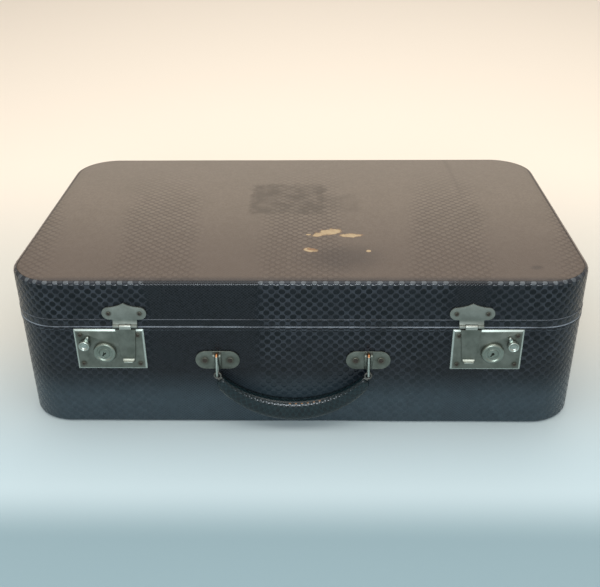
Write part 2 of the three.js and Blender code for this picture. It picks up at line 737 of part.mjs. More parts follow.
// ---- back hinges ----------------------------------------------------------------------------
// One leaf with its knuckles: up is -1 for the base's leaf, +1 for the lid's.
function hingeLeaf(up) {
  const half = HINGE_W / 2;
  const mid = HINGE_MID / 2;
  const near = PARTING + up * (BARREL_R + GAP);
  const [low, high] = [near, near + up * HINGE_LEAF].sort((a, b) => a - b);
  const plate = frontBlock(-half, half, GAP, GAP + HINGE_T, low, high);
  const barrel = crossRod(-half, half, HINGE_AXIS_H, PARTING, BARREL_R);
  const [webLow, webHigh] = [PARTING, near + up].sort((a, b) => a - b);
  const web = frontBlock(-half, half, GAP, GAP + HINGE_T, webLow, webHigh);
  const knuckles = barrel.add(web);
  const bore = crossRod(-FAR, FAR, HINGE_AXIS_H, PARTING, BORE_R);
  const keep = up < 0 ? mid : mid + GAP;
  const middle = frontBlock(-keep, keep, -1, 9, PARTING - 3, PARTING + 3);
  const mine = up < 0 ? knuckles.intersect(middle) : knuckles.subtract(middle);
  return cut(plate.add(mine), bore);
}

function hinge({ side, sign }) {
  const group = new THREE.Group();
  group.position.x = -sign * HINGE_X;
  group.add(piece(`hinge_base_leaf_${side}`, hingeLeaf(-1), NICKEL()));
  group.add(piece(`hinge_lid_leaf_${side}`, hingeLeaf(1), NICKEL()));
  const reach = HINGE_W / 2 - GAP;
  group.add(piece(`hinge_pin_${side}`, crossRod(-reach, reach, HINGE_AXIS_H, PARTING, PIN_R), STEEL()));
  return group;
}

// ---- assembly -------------------------------------------------------------------------------
const front = new THREE.Group();
front.position.y = -DEPTH / 2;
front.add(...SIDES.map(lock), ...SIDES.map(hasp), handle());

const back = new THREE.Group();
back.position.y = DEPTH / 2;
back.rotation.z = Math.PI;
back.add(...SIDES.map(hinge));

const suitcase = new THREE.Group();
suitcase.add(...baseShell(), ...lidShell(), front, back);

export default suitcase;
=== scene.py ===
# %% [markdown]
# # A small hard suitcase in snakeskin leathercloth
# The real case is a fibreboard box covered in embossed leathercloth, with nickel locks and hasps,
# a curved grip on wire rings and two hinges at the back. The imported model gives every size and
# every moving body. This lesson builds the surfaces round it, one piece at a time.

# %% The frame
import math

import bmesh
import bpy
from mathutils import Matrix, Vector, noise


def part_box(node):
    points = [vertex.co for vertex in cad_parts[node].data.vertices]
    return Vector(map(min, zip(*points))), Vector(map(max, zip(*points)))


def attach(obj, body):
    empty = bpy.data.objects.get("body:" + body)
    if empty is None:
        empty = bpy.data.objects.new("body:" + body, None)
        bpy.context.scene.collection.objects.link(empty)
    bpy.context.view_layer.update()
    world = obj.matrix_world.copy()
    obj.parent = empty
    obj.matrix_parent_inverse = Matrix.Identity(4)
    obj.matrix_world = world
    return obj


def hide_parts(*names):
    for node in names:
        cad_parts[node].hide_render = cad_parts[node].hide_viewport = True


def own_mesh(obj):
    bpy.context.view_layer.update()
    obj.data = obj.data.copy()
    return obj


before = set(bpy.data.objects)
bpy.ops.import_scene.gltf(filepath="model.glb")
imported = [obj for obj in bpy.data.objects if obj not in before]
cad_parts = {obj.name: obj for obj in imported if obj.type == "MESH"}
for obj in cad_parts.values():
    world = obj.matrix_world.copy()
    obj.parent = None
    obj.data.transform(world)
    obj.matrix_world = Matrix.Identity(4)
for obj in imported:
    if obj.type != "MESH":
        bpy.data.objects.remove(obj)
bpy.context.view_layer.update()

MM = 0.001

# %% [markdown]
# ## Driving sizes
# The outer skin's box gives the width and depth of the case. The other sizes are those of the
# maker's drawing: the corner radius, the thickness of the skin and where the lid parts.

# %% Sizes from the frame
_, skin_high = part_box("base_wall_covering")
HALF_W = skin_high.x
HALF_D = skin_high.y
FRONT = -HALF_D
CORNER_R = 37.7 * MM
SKIN = 1.0 * MM
PARTING = (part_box("base_rim_binding")[1].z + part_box("lid_rim_binding")[0].z) / 2
LID_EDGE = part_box("lid_wall_covering")[1].z
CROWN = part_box("lid_top_covering")[1].z - LID_EDGE


def placed(name, data):
    """A new object with this data, in the scene."""
    made = bpy.data.objects.new(name, data)
    bpy.context.scene.collection.objects.link(made)
    return made


def middle_of(node):
    """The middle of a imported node's box, as x, y and z."""
    low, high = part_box(node)
    return [(a + b) / 2 for a, b in zip(low, high)]


def refinish(node, material):
    """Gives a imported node, whose shape is right, a better finish."""
    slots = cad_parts[node].data.materials
    slots.clear()
    slots.append(material)


print(f"case {2 * HALF_W:.3f} x {2 * HALF_D:.3f} m, parting {PARTING:.4f}, crown {CROWN:.4f}")

# %% [markdown]
# ## Camera
# A camera is a place, three turns and a focal length. Its axes are worked out from the turns, as
# a surveyor would, and set as the columns of its matrix.

# %% Camera
YAW, PITCH, ROLL = (math.radians(a) for a in (-1.38, 29.06, -0.62))
CAMERA_PLACE = (14.84 * MM, -696.97 * MM, 435.10 * MM)
LENS = 50.4
SENSOR = 36


def add_camera():
    yaw, pitch, roll = YAW, PITCH, ROLL
    ahead = Vector((math.sin(yaw) * math.cos(pitch), math.cos(yaw) * math.cos(pitch), -math.sin(pitch)))
    level = Vector((math.cos(yaw), -math.sin(yaw), 0))
    upright = level.cross(ahead)
    right = math.cos(roll) * level + math.sin(roll) * upright
    up = math.cos(roll) * upright - math.sin(roll) * level
    data = bpy.data.cameras.new("camera")
    data.sensor_width = SENSOR
    data.lens = LENS
    camera = placed("camera", data)
    turn = Matrix((right, up, -ahead)).transposed().to_4x4()
    camera.matrix_world = Matrix.Translation(CAMERA_PLACE) @ turn
    bpy.context.scene.camera = camera
    print("camera at", tuple(round(c, 3) for c in camera.location))


add_camera()

# %% [markdown]
# ## Shader sums
# A material's pattern is arithmetic on places. `Field` wraps one socket, so that a sum written in
# Python adds the Math nodes it needs. `Paint` makes every other node through one method.

# %% Field and Paint
class Field:
    """A number that varies over a surface, which takes part in sums."""

    def __init__(self, paint, socket):
        self.paint = paint
        self.socket = socket

    def math(self, operation, *others):
        return self.paint.math(operation, self, *others)

    def __add__(self, other):
        return self.math("ADD", other)

    __radd__ = __add__

    def __sub__(self, other):
        return self.math("SUBTRACT", other)

    def __rsub__(self, other):
        return self.paint.math("SUBTRACT", other, self)

    def __mul__(self, other):
        return self.math("MULTIPLY", other)

    __rmul__ = __mul__

    def __truediv__(self, other):
        return self.math("DIVIDE", other)

    def __abs__(self):
        return self.math("ABSOLUTE")

    def ramp(self, low, high):
        """0 up to low, 1 from high on, and smooth between them; low may be above high."""
        inputs = {"Value": self, "From Min": low, "From Max": high}
        settings = {"interpolation_type": "SMOOTHSTEP"}
        return self.paint.node("ShaderNodeMapRange", settings, inputs)


class Paint:
    """A material under construction."""

    def __init__(self, name):
        self.material = bpy.data.materials.new(name)
        self.material.use_nodes = True
        self.tree = self.material.node_tree
        self.shader = self.tree.nodes["Principled BSDF"]

    def node(self, kind, settings=None, inputs=None, output=0):
        made = self.tree.nodes.new(kind)
        for key, value in (settings or {}).items():
            setattr(made, key, value)
        for key, value in (inputs or {}).items():
            self.feed(made.inputs[key], value)
        return Field(self, made.outputs[output])

    def feed(self, socket, value):
        if isinstance(value, Field):
            self.tree.links.new(value.socket, socket)
        else:
            socket.default_value = value

    def math(self, operation, *values):
        return self.node("ShaderNodeMath", {"operation": operation}, dict(enumerate(values)))

    def vector(self, operation, *values, output=0):
        inputs = dict(enumerate(values))
        return self.node("ShaderNodeVectorMath", {"operation": operation}, inputs, output)

    def combine(self, x, y, z=0.0):
        return self.node("ShaderNodeCombineXYZ", None, {"X": x, "Y": y, "Z": z})

    def split(self, vector):
        made = self.tree.nodes.new("ShaderNodeSeparateXYZ")
        self.feed(made.inputs[0], vector)
        return [Field(self, out) for out in made.outputs]

    def blend(self, factor, first, second):
        """Colour: first where the factor is 0, second where it is 1."""
        settings = {"data_type": "RGBA", "clamp_factor": True}
        return self.node("ShaderNodeMix", settings, {0: factor, 6: first, 7: second}, 2)

    def noise(self, place, size, detail=2.0, roughness=0.5):
        """Cloudy values from 0 to 1, with clouds about that many metres across."""
        inputs = {"Vector": place, "Scale": 1 / size, "Detail": detail, "Roughness": roughness}
        return self.node("ShaderNodeTexNoise", None, inputs)

    def object_place(self):
        return self.node("ShaderNodeTexCoord", output=3)

    def sheet_place(self):
        """The piece's own UV map, laid out in metres."""
        return self.node("ShaderNodeUVMap", {"uv_map": "sheet"})

    def set(self, **values):
        for key, value in values.items():
            self.feed(self.shader.inputs[key.replace("_", " ")], value)

    def bump(self, height, distance, strength=1.0):
        inputs = {"Height": height, "Distance": distance, "Strength": strength}
        self.feed(self.shader.inputs["Normal"], self.node("ShaderNodeBump", None, inputs))


def colour(red, green, blue):
    """A screen colour, 0 to 255, as the light value that the shader takes."""
    def linear(c):
        c /= 255
        return c / 12.92 if c <= 0.04045 else ((c + 0.055) / 1.055) ** 2.4

    return (linear(red), linear(green), linear(blue), 1.0)


def between(value, low, high, soft):
    """1 from low to high and 0 beyond them, with soft sides."""
    return value.ramp(low - soft, low + soft) * value.ramp(high + soft, high - soft)


def blot(x, y, ragged, centre, radii, turn=0.0, soft=0.08):
    """1 inside a ragged ellipse, 0 outside it."""
    dx = x - centre[0]
    dy = y - centre[1]
    c, s = math.cos(turn), math.sin(turn)
    a = (dx * c + dy * s) / radii[0]
    b = (dy * c - dx * s) / radii[1]
    reach = (a * a + b * b).math("SQRT") + ragged
    return reach.ramp(1 + soft, 1 - soft)


print("shader sums ready")

# %% [markdown]
# ## Floor and light
# The case lies on a pale floor that turns warm behind it, with a band of painted shade in front
# where the table's edge falls away. A wide soft light hangs over it, a wash keeps the far floor
# bright, and the world fills the rest. A small bright lamp low in front puts a broken gleam along
# the top's front edge, where the embossing rolls over; glints painted into the leathercloth add to it.

# %% Floor and light
def add_floor():
    """A pale table, bluish near the case, warmer behind it, with painted shade where its front edge falls
    away.
    """
    paint = Paint("floor")
    place = paint.object_place()
    _, y, _ = paint.split(place)
    clouds = paint.noise(place, 0.5)
    near = paint.blend(clouds.ramp(0.35, 0.65), colour(180, 198, 204), colour(185, 202, 207))
    warm = paint.blend(y.ramp(-0.2, 0.04), near, colour(205, 202, 192))
    back = paint.blend(y.ramp(0.05, 0.5), warm, colour(238, 226, 210))
    # painted shade: a darker band where the table's front edge falls away from the light
    drop = y.ramp(-0.213, -0.271) * y.ramp(-0.58, -0.42)
    paint.set(Base_Color=paint.blend(drop, back, colour(132, 155, 162)), Roughness=0.75)
    mesh = bpy.data.meshes.new("floor")
    reach = 6.0
    corners = [(-reach, -reach, 0), (reach, -reach, 0), (reach, reach, 0), (-reach, reach, 0)]
    mesh.from_pydata(corners, [], [(0, 1, 2, 3)])
    mesh.materials.append(paint.material)
    placed("floor", mesh)


def add_light(name, place, aim, width, height, watts, tint):
    data = bpy.data.lights.new(name, "AREA")
    data.shape = "RECTANGLE"
    data.size = width
    data.size_y = height
    data.energy = watts
    data.color = tint
    light = placed(name, data)
    light.location = place
    light.rotation_euler = (Vector(aim) - Vector(place)).to_track_quat("-Z", "Y").to_euler()


def add_world():
    world = bpy.data.worlds.new("studio")
    world.use_nodes = True
    background = world.node_tree.nodes["Background"]
    background.inputs["Color"].default_value = (1.0, 0.97, 0.93, 1.0)
    background.inputs["Strength"].default_value = 0.62
    bpy.context.scene.world = world


add_floor()
add_world()
add_light("overhead", (0.0, -0.05, 1.6), (0, -0.05, 0), 1.8, 1.7, 19, (1.0, 0.98, 0.95))
add_light("back_wash", (0.1, 1.7, 1.6), (0, 1.5, 0), 2.4, 1.2, 9, (1.0, 0.97, 0.94))
add_light("edge_lamp", (-0.05, -1.45, 0.64), (0, -0.13, 0.13), 0.6, 0.30, 12, (0.84, 0.93, 1.0))
bpy.context.scene.view_settings.view_transform = "Standard"
print("floor and lights ready")

# %% [markdown]
# ## Scales
# The leathercloth is embossed with scales set in rows, each row half a scale along from the last,
# so that the grooves between them cross like a lattice. Two oblong grids make this, each in the
# other's gaps, and the distance to the nearest centre gives a dome and a groove. A real skin has
# broad scales down its middle and fine ones at its sides, so two sizes are mixed.

# %% Scale pattern
BROAD = (8.3 * MM, 7.5 * MM)
FINE = (2.9 * MM, 2.5 * MM)


def lattice(paint, place, pitch):
    """Distance to the nearest scale's centre, 1 half-way to the next, and each scale's own number."""
    wide, high = pitch
    half_gap = math.hypot(wide, high) / 4
    cell = paint.vector("DIVIDE", place, (wide, high, 1.0))
    moved = paint.vector("ADD", cell, (0.5, 0.5, 0.0))
    half = (0.5, 0.5, 0.5)
    minus = (-0.5, -0.5, -0.5)
    first = paint.vector("WRAP", cell, half, minus)
    second = paint.vector("WRAP", moved, half, minus)
    stretch = (wide / half_gap, high / half_gap, 0.0)
    near = paint.vector("LENGTH", paint.vector("MULTIPLY", first, stretch), output=1)
    other = paint.vector("LENGTH", paint.vector("MULTIPLY", second, stretch), output=1)
    pick = near.math("LESS_THAN", other)
    centre_a = paint.vector("SUBTRACT", cell, first)
    centre_b = paint.vector("ADD", paint.vector("SUBTRACT", moved, second), (0.5, 0.5, 0.0))
    mixed = {"data_type": "VECTOR"}
    centre = paint.node("ShaderNodeMix", mixed, {0: pick, 4: centre_b, 5: centre_a}, 1)
    snapped = paint.vector("SNAP", paint.vector("ADD", centre, (0.1, 0.1, 0.1)), (0.25, 0.25, 9.0))
    own = paint.node("ShaderNodeTexWhiteNoise", {"noise_dimensions": "3D"}, {"Vector": snapped})
    return near.math("MINIMUM", other), own


def scales(paint, place, broad, fine_share=0.4, size=1.0):
    """Height 0 to 1 of the embossing, and each scale's own number; broad is the broad ones' share."""
    wander = paint.noise(place, 0.012, 1.0)
    shift = (wander - 0.5) * 0.0016
    soft = paint.vector("ADD", place, paint.combine(shift, shift * 0.7))
    big, big_own = lattice(paint, soft, (BROAD[0] * size, BROAD[1] * size))
    small, small_own = lattice(paint, soft, (FINE[0] * size, FINE[1] * size))
    big_dome = big.ramp(1.0, 0.5)
    small_dome = small.ramp(1.05, 0.4)
    height = big_dome * broad + small_dome * (1 - broad) * fine_share
    own = big_own * broad + small_own * (1 - broad)
    return height, own


print("scale pattern ready")

# %% [markdown]
# ## Leathercloth
# The walls kept their blue-black colour. Scale tops are darkest and glossiest and dust lies in the
# grooves. Low down the wall is painted lighter and bluer, partly dust and partly a painted reflection
# of the pale floor. Thin highlight lines are painted along the rims, and glints along the lid's front
# edge. On the front wall two zones have fine scales; elsewhere broad and fine zones take turns.

# %% Leathercloth of the walls
# the colour of the painted highlight lines along the rims
PAINTED_RIM_HIGHLIGHT = colour(140, 148, 156)
SKIN_REPEAT = 0.146
FINE_ZONES = ((-0.118, -0.033), (0.117, 0.146))


def leathercloth(name, lines=(), faded=None):
    """The walls' finish; lines are (height, strength) of painted highlight lines, faded is where brown
    begins.
    """
    paint = Paint(name)
    place = paint.sheet_place()
    along, _, _ = paint.split(place)
    world = paint.object_place()
    across, depth, z = paint.split(world)
    clouds = paint.noise(world, 0.045, 3.0, 0.6)
    fine = paint.noise(world, 0.006, 4.0, 0.7)
    phase = (along - 0.042 + (clouds - 0.5) * 0.05) * (2 * math.pi / SKIN_REPEAT)
    shifted = across + (clouds - 0.5) * 0.02
    fine_left, fine_right = (between(shifted, low, high, 0.006) for low, high in FINE_ZONES)
    front = depth.ramp(-0.115, -0.13)
    broad = phase.math("COSINE").ramp(-0.75, -0.2) * (1 - front) + (1 - fine_left - fine_right) * front
    height, own = scales(paint, place, broad, 0.45)
    groove = 1 - height.ramp(0.02, 0.3)
    top = paint.blend(own, colour(3, 6, 10), colour(16, 19, 24))
    uneven = paint.noise(world, 0.022, 4.0, 0.7).ramp(0.3, 0.7)
    seen = groove * (0.1 + broad * 0.15 + uneven * broad * 0.55) * (0.3 + z.ramp(0.03, 0.085) * 0.7)
    base = paint.blend(seen, top, colour(51, 56, 63))
    patchy = paint.blend(clouds.ramp(0.45, 0.75) * 0.45, base, colour(14, 21, 26))
    # low down the wall is painted lighter and bluer: partly dust, partly a painted reflection of the pale
    # floor
    dust_and_floor_sheen = paint.blend(z.ramp(0.055, 0.02) * (0.25 + fine * 0.35), patchy, colour(66, 82, 90))
    scratch = paint.noise(world, 0.004, 3.0, 0.8).ramp(0.68, 0.8)
    worn = paint.blend(scratch * 0.35, dust_and_floor_sheen, colour(86, 82, 80))
    # painted highlights: thin lit lines along the rims' proud edges
    for line, strength in lines:
        painted_rim_line = between(z + (fine - 0.5) * 0.0004, line - 0.0003, line + 0.0003, 0.0003)
        worn = paint.blend(painted_rim_line * (0.35 + clouds.ramp(0.35, 0.6) * 0.65) * strength, worn, PAINTED_RIM_HIGHLIGHT)
    if faded:
        _, y, _ = paint.split(world)
        bleached = (z + (fine - 0.5) * 0.0008).ramp(faded, faded + 0.0009) * y.ramp(-0.12, -0.09)
        worn = paint.blend(bleached * 0.9, worn, colour(108, 96, 86))
    # painted highlight: light glints on the scale tops along the lid's rolled front edge
    edge = z.ramp(LID_EDGE - 3 * MM, LID_EDGE - 2 * MM)
    painted_bead_glints = edge * front * height.ramp(0.3, 0.8) * (0.25 + fine * 0.5)
    worn = paint.blend(painted_bead_glints, worn, colour(112, 117, 121))
    paint.set(Base_Color=worn, Roughness=(0.2 + groove * 0.2 + clouds * 0.12) * (1 - edge * 0.45))
    paint.set(Specular_IOR_Level=0.3)
    paint.bump(height, 0.24 * MM, 0.8)
    return paint.material


wall_cloth = leathercloth("leathercloth")
rim_cloth = leathercloth("rim_leathercloth", ((0.0900, 0.3), (0.0931, 0.9), (0.0998, 0.35)))
lid_cloth = leathercloth("lid_leathercloth", faded=LID_EDGE - 1.8 * MM)
print(wall_cloth.name, "has", len(wall_cloth.node_tree.nodes), "nodes")

# %% [markdown]
# ## Faded top
# Light has bleached the top to a worn brown. One patch stayed darker under a label, and the surface
# is scuffed down to its tan backing in a few places. `blot` and `between` mark out the places.

# %% Faded leathercloth of the top
def faded_top():
    paint = Paint("faded_leathercloth")
    place = paint.object_place()
    x, y, _ = paint.split(place)
    clouds = paint.noise(place, 0.07, 4.0, 0.6)
    fine = paint.noise(place, 0.008, 4.0, 0.7)
    from_front = y + HALF_D

    # broad scales lie in patches that narrow and fade towards the back
    spread = x * (1 - from_front * 0.7)
    phase = ((spread - 0.003) * (2 * math.pi / 0.114)).math("COSINE")
    patch = (phase - from_front * 2.1 + (clouds - 0.5) * 1.6).ramp(-0.8, 0.3)
    broad = (patch * y.ramp(0.13, -0.03)).math("MINIMUM", 1.0)
    height, own = scales(paint, place, broad, 0.22)
    groove = (1 - height.ramp(0.02, 0.4)) * (0.2 + broad * 0.8)
    top = paint.blend(own * 0.7, colour(122, 110, 97), colour(107, 95, 83))
    base = paint.blend(groove * 0.75, top, colour(74, 65, 57))
    aged = paint.blend(clouds.ramp(0.3, 0.7) * 0.3, base, colour(102, 92, 79))
    # painted light and shade: the top is painted lighter towards the back and darker towards the front
    far = paint.blend(y.ramp(0.0, 0.13) * 0.4, aged, colour(126, 116, 104))
    shaded = paint.blend(y.ramp(0.04, -0.135) * 0.72, far, colour(78, 65, 56))

    # a label kept one patch darker; a crease and a smudge lie right of it
    wave = (fine - 0.5) * 0.02
    rubbed = paint.noise(place, 0.011, 3.0, 0.6).ramp(0.3, 0.65)
    label = between(x + wave, -0.046, 0.022, 0.003) * between(y - wave, -0.013, 0.056, 0.004)
    wing = between(x + wave, 0.018, 0.052, 0.004) * between(y - wave, -0.008, 0.032, 0.004) * 0.45
    mark = label.math("MAXIMUM", wing) * (0.2 + rubbed * 0.45)
    marked = paint.blend(mark, shaded, colour(74, 65, 55))
    crease = between(x + y * 0.03, 0.1475, 0.1505, 0.0025) * y.ramp(-0.02, 0.06)
    creased = paint.blend(crease * 0.22, marked, colour(72, 63, 55))
    ragged = (fine - 0.5) * 0.9
    smudge = blot(x, y, ragged, (0.035, -0.098), (0.026, 0.018), soft=0.7)
    dent = blot(x, y, ragged, (0.186, -0.112), (0.0045, 0.003), 0.3, 0.5)
    smudged = paint.blend(smudge.math("MAXIMUM", dent) * 0.45, creased, colour(52, 45, 41))

    # a dark line runs along the seam, and the edge is darker, most of all along the front
    inset = (HALF_W - abs(x)).math("MINIMUM", HALF_D - abs(y))
    groove_line = inset.ramp(0.0046, 0.0030)
    front_edge = from_front.ramp(0.0100, 0.0035) * (0.5 + fine * 0.5)
    rimmed = paint.blend(groove_line.math("MAXIMUM", front_edge) * 0.8, smudged, colour(46, 42, 42))

    # scuffs show the tan backing, with a torn orange edge
    torn = (paint.noise(place, 0.005, 5.0, 0.75) - 0.5) * 2.2
    spots = [
        ((0.0250, -0.0510), (0.0095, 0.0056), 0.25, torn),
        ((0.0160, -0.0565), (0.0055, 0.0036), 0.5, torn),
        ((0.0420, -0.0580), (0.0090, 0.0034), 0.02, torn * 0.7),
        ((0.0070, -0.0565), (0.0020, 0.0013), 0.0, torn),
        ((0.0560, -0.0864), (0.0019, 0.0019), 0.0, torn * 0.4),
        ((0.0090, -0.0845), (0.0058, 0.0032), -0.3, torn * 0.8),
    ]
    bare, halo = 0.0, 0.0
    for centre, radii, turn, raggedness in spots:
        bare = blot(x, y, raggedness, centre, radii, turn).math("MAXIMUM", bare)
        halo = blot(x, y, raggedness, centre, radii, turn, 0.3).math("MAXIMUM", halo)
    hollow = blot(x, y, torn * 0.5, (0.0100, -0.0838), (0.0040, 0.0019), -0.3)
    bare = bare * (1 - hollow * 0.85)
    tan = paint.blend(fine.ramp(0.35, 0.65), colour(158, 134, 104), colour(172, 152, 120))
    edged = paint.blend(halo * 0.8, rimmed, colour(140, 100, 66))
    paint.set(Base_Color=paint.blend(bare, edged, tan), Roughness=0.5 + fine * 0.2 + bare * 0.2)
    paint.set(Specular_IOR_Level=0.4)
    flat = height * (1 - bare) - bare * 0.6
    paint.bump(flat, 0.4 * MM, 0.9)
    return paint.material


top_cloth = faded_top()
print(top_cloth.name, "has", len(top_cloth.node_tree.nodes), "nodes")

# %% [markdown]
# ## Metals
# The fittings are steel plated with nickel. The plate has gone dull and a little green, is
# brighter where hands rub it, and is pitted brown round the rivets. A lighter band on the leaves'
# knuckles and lighter tones for the lips, buttons and rings are painted highlights.

# %% Nickel, steel and rust
DULL = ((115, 119, 111), (93, 98, 90))
PALE = ((132, 137, 130), (116, 121, 114))
# lighter tones for the small pieces that catch the most light: a painted highlight
PAINTED_LIT_TONES = ((178, 186, 178), (154, 162, 153))


def nickel(name, spots=(), border=None, painted_highlight_above=None, coppery=None, tones=DULL, rough=0.38):
    """Dull nickel; spots are stained places (x, z, radius), border is a worn frame (low, high); a painted
    highlight band may lie above a given height.
    """
    paint = Paint(name)
    place = paint.object_place()
    clouds = paint.noise(place, 0.009, 4.0, 0.6)
    x, y, z = paint.split(place)
    streaks = paint.noise(paint.combine(x * 6, y * 6, z), 0.003, 3.0, 0.7)
    tone = paint.blend(clouds.ramp(0.3, 0.7), colour(*tones[0]), colour(*tones[1]))
    specks = paint.noise(place, 0.0011, 2.0, 0.6).ramp(0.7, 0.78)
    tone = paint.blend(specks * 0.4, tone, colour(80, 74, 60))
    for spot_x, spot_z, radius in spots:
        reach = ((x - spot_x) * (x - spot_x) + (z - spot_z) * (z - spot_z)).math("SQRT")
        ring = (reach + (clouds - 0.5) * 0.0012).ramp(radius * 1.9, radius * 0.8)
        tone = paint.blend(ring * 0.55, tone, colour(66, 62, 52))
    # painted highlight: a lighter band above a given height, where the knuckle catches the light
    if painted_highlight_above:
        painted_knuckle_highlight = z.ramp(painted_highlight_above, painted_highlight_above + 0.5 * MM) * 0.75
        tone = paint.blend(painted_knuckle_highlight, tone, colour(186, 190, 182))
    if coppery:
        tone = paint.blend(z.ramp(coppery, coppery + 1.2 * MM), tone, colour(196, 138, 92))
    if border:
        low, high = border
        inset_x = (x - low.x).math("MINIMUM", high.x - x)
        inset_z = (z - low.z).math("MINIMUM", high.z - z)
        shine = inset_x.math("MINIMUM", inset_z).ramp(1.7 * MM, 0.8 * MM)
        tone = paint.blend(shine * 0.8, tone, colour(196, 206, 198))
    paint.set(Base_Color=tone, Metallic=0.9)
    paint.set(Roughness=rough + clouds * 0.12 + streaks * 0.05 + specks * 0.2)
    paint.bump(streaks * 0.4 + clouds * 0.6, 0.05 * MM, 0.4)
    return paint.material


def plain_steel():
    paint = Paint("steel")
    place = paint.object_place()
    clouds = paint.noise(place, 0.004, 3.0, 0.6)
    tone = paint.blend(clouds, colour(120, 120, 116), colour(88, 84, 78))
    paint.set(Base_Color=tone, Metallic=1.0, Roughness=0.35 + clouds * 0.25)
    return paint.material


def rivet_steel():
    """A nickel ring round a brown pit; the first UV number is the radius as a share of the head's."""
    paint = Paint("rusty_steel")
    radius, _, _ = paint.split(paint.sheet_place())
    clouds = paint.noise(paint.object_place(), 0.0012, 4.0, 0.7)
    pit = (abs(radius) + (clouds - 0.5) * 0.2).ramp(0.92, 0.66)
    ring = paint.blend(clouds, colour(104, 108, 98), colour(78, 72, 58))
    rust = paint.blend(clouds.ramp(0.3, 0.7), colour(36, 32, 28), colour(54, 47, 39))
    paint.set(Base_Color=paint.blend(pit, ring, rust), Metallic=0.8 - pit * 0.7)
    paint.set(Roughness=0.42 + pit * 0.35)
    return paint.material


fitting_nickel = nickel("nickel_plate")
painted_lit_nickel = nickel("painted_lit_nickel", tones=PAINTED_LIT_TONES, rough=0.2)
boss_nickel = nickel("boss_nickel", tones=((136, 144, 134), (116, 124, 114)), rough=0.27)
steel = plain_steel()
rust = rivet_steel()
print("metals ready")

# %% [markdown]
# ## Grip leather, lining and board
# The grip is glossy green-black skin with finer scales. Inside, the case is lined with a striped
# cream paper, and the closing lip is bound in dark cloth.

# %% Soft finishes
def grip_leather(name, raw_edge_and_sheen):
    paint = Paint(name)
    place = paint.sheet_place()
    height, own = scales(paint, place, 0.8, 0.45, 0.62)
    clouds = paint.noise(paint.object_place(), 0.012, 4.0, 0.6)
    groove = 1 - height.ramp(0.02, 0.35)
    top = paint.blend(own, colour(3, 15, 19), colour(9, 25, 29))
    base = paint.blend(groove * 0.5, top, colour(20, 39, 43))
    rubbed = paint.blend(clouds.ramp(0.6, 0.85) * 0.3, base, colour(50, 62, 60))
    # the sewn edge is painted pale: partly its raw leather edge, partly a painted reflection of the floor
    edged = paint.blend(raw_edge_and_sheen * clouds.ramp(0.3, 0.55), rubbed, colour(118, 120, 112))
    paint.set(Base_Color=edged, Roughness=0.1 + groove * 0.14 + clouds * 0.08)
    paint.set(Specular_IOR_Level=0.4)
    paint.bump(height, 0.12 * MM, 0.7)
    return paint.material


def lining_paper():
    paint = Paint("lining_paper")
    place = paint.object_place()
    x, y, _ = paint.split(place)
    clouds = paint.noise(place, 0.03, 4.0, 0.6)
    lines = ((x + y) * (2 * math.pi / 0.012)).math("COSINE").ramp(0.72, 0.86)
    thin = ((x + y + 0.003) * (2 * math.pi / 0.012)).math("COSINE").ramp(0.955, 0.985)
    ground = paint.blend(clouds, colour(205, 186, 152), colour(184, 162, 126))
    striped = paint.blend(lines * 0.55, ground, colour(150, 112, 84))
    lined = paint.blend(thin * 0.6, striped, colour(92, 98, 88))
    stain = paint.noise(place, 0.05, 5.0, 0.65).ramp(0.58, 0.75)
    paint.set(Base_Color=paint.blend(stain * 0.35, lined, colour(136, 106, 72)), Roughness=0.85)
    paint.bump(paint.noise(place, 0.0015, 3.0), 0.08 * MM, 0.6)
    return paint.material


def woven_cloth():
    paint = Paint("lip_cloth")
    place = paint.object_place()
    x, y, z = paint.split(place)
    warp = ((x + y) * (2 * math.pi / 0.0009)).math("SINE")
    weft = (z * (2 * math.pi / 0.0009)).math("SINE")
    weave = (warp * weft) * 0.5 + 0.5
    tone = paint.blend(weave, colour(44, 40, 38), colour(74, 68, 62))
    paint.set(Base_Color=tone, Roughness=0.9)
    paint.bump(weave, 0.12 * MM, 0.7)
    return paint.material


def fibreboard():
    paint = Paint("fibreboard")
    place = paint.object_place()
    clouds = paint.noise(place, 0.004, 5.0, 0.7)
    tone = paint.blend(clouds, colour(120, 92, 66), colour(148, 120, 88))
    paint.set(Base_Color=tone, Roughness=0.9)
    paint.bump(clouds, 0.1 * MM, 0.6)
    return paint.material


def waxed_thread():
    paint = Paint("thread")
    place = paint.object_place()
    clouds = paint.noise(place, 0.002, 2.0)
    tone = paint.blend(clouds, colour(176, 128, 86), colour(138, 98, 62))
    paint.set(Base_Color=tone, Roughness=0.7)
    return paint.material


grip_skin = grip_leather("grip_leather", 0.0)
grip_edge = grip_leather("grip_edge_leather", 0.75)
lining = lining_paper()
lip_cloth = woven_cloth()
board = fibreboard()
thread = waxed_thread()
print("soft finishes ready")

# %% [markdown]
# ## Lofts
# Nearly every piece here is a row of rings of points, each ring joined to the next: a section led
# round the case, a turned boss, a grip that swells. One function joins the rings and lays out a UV
# map in metres, so that the scales keep their size round a bend.

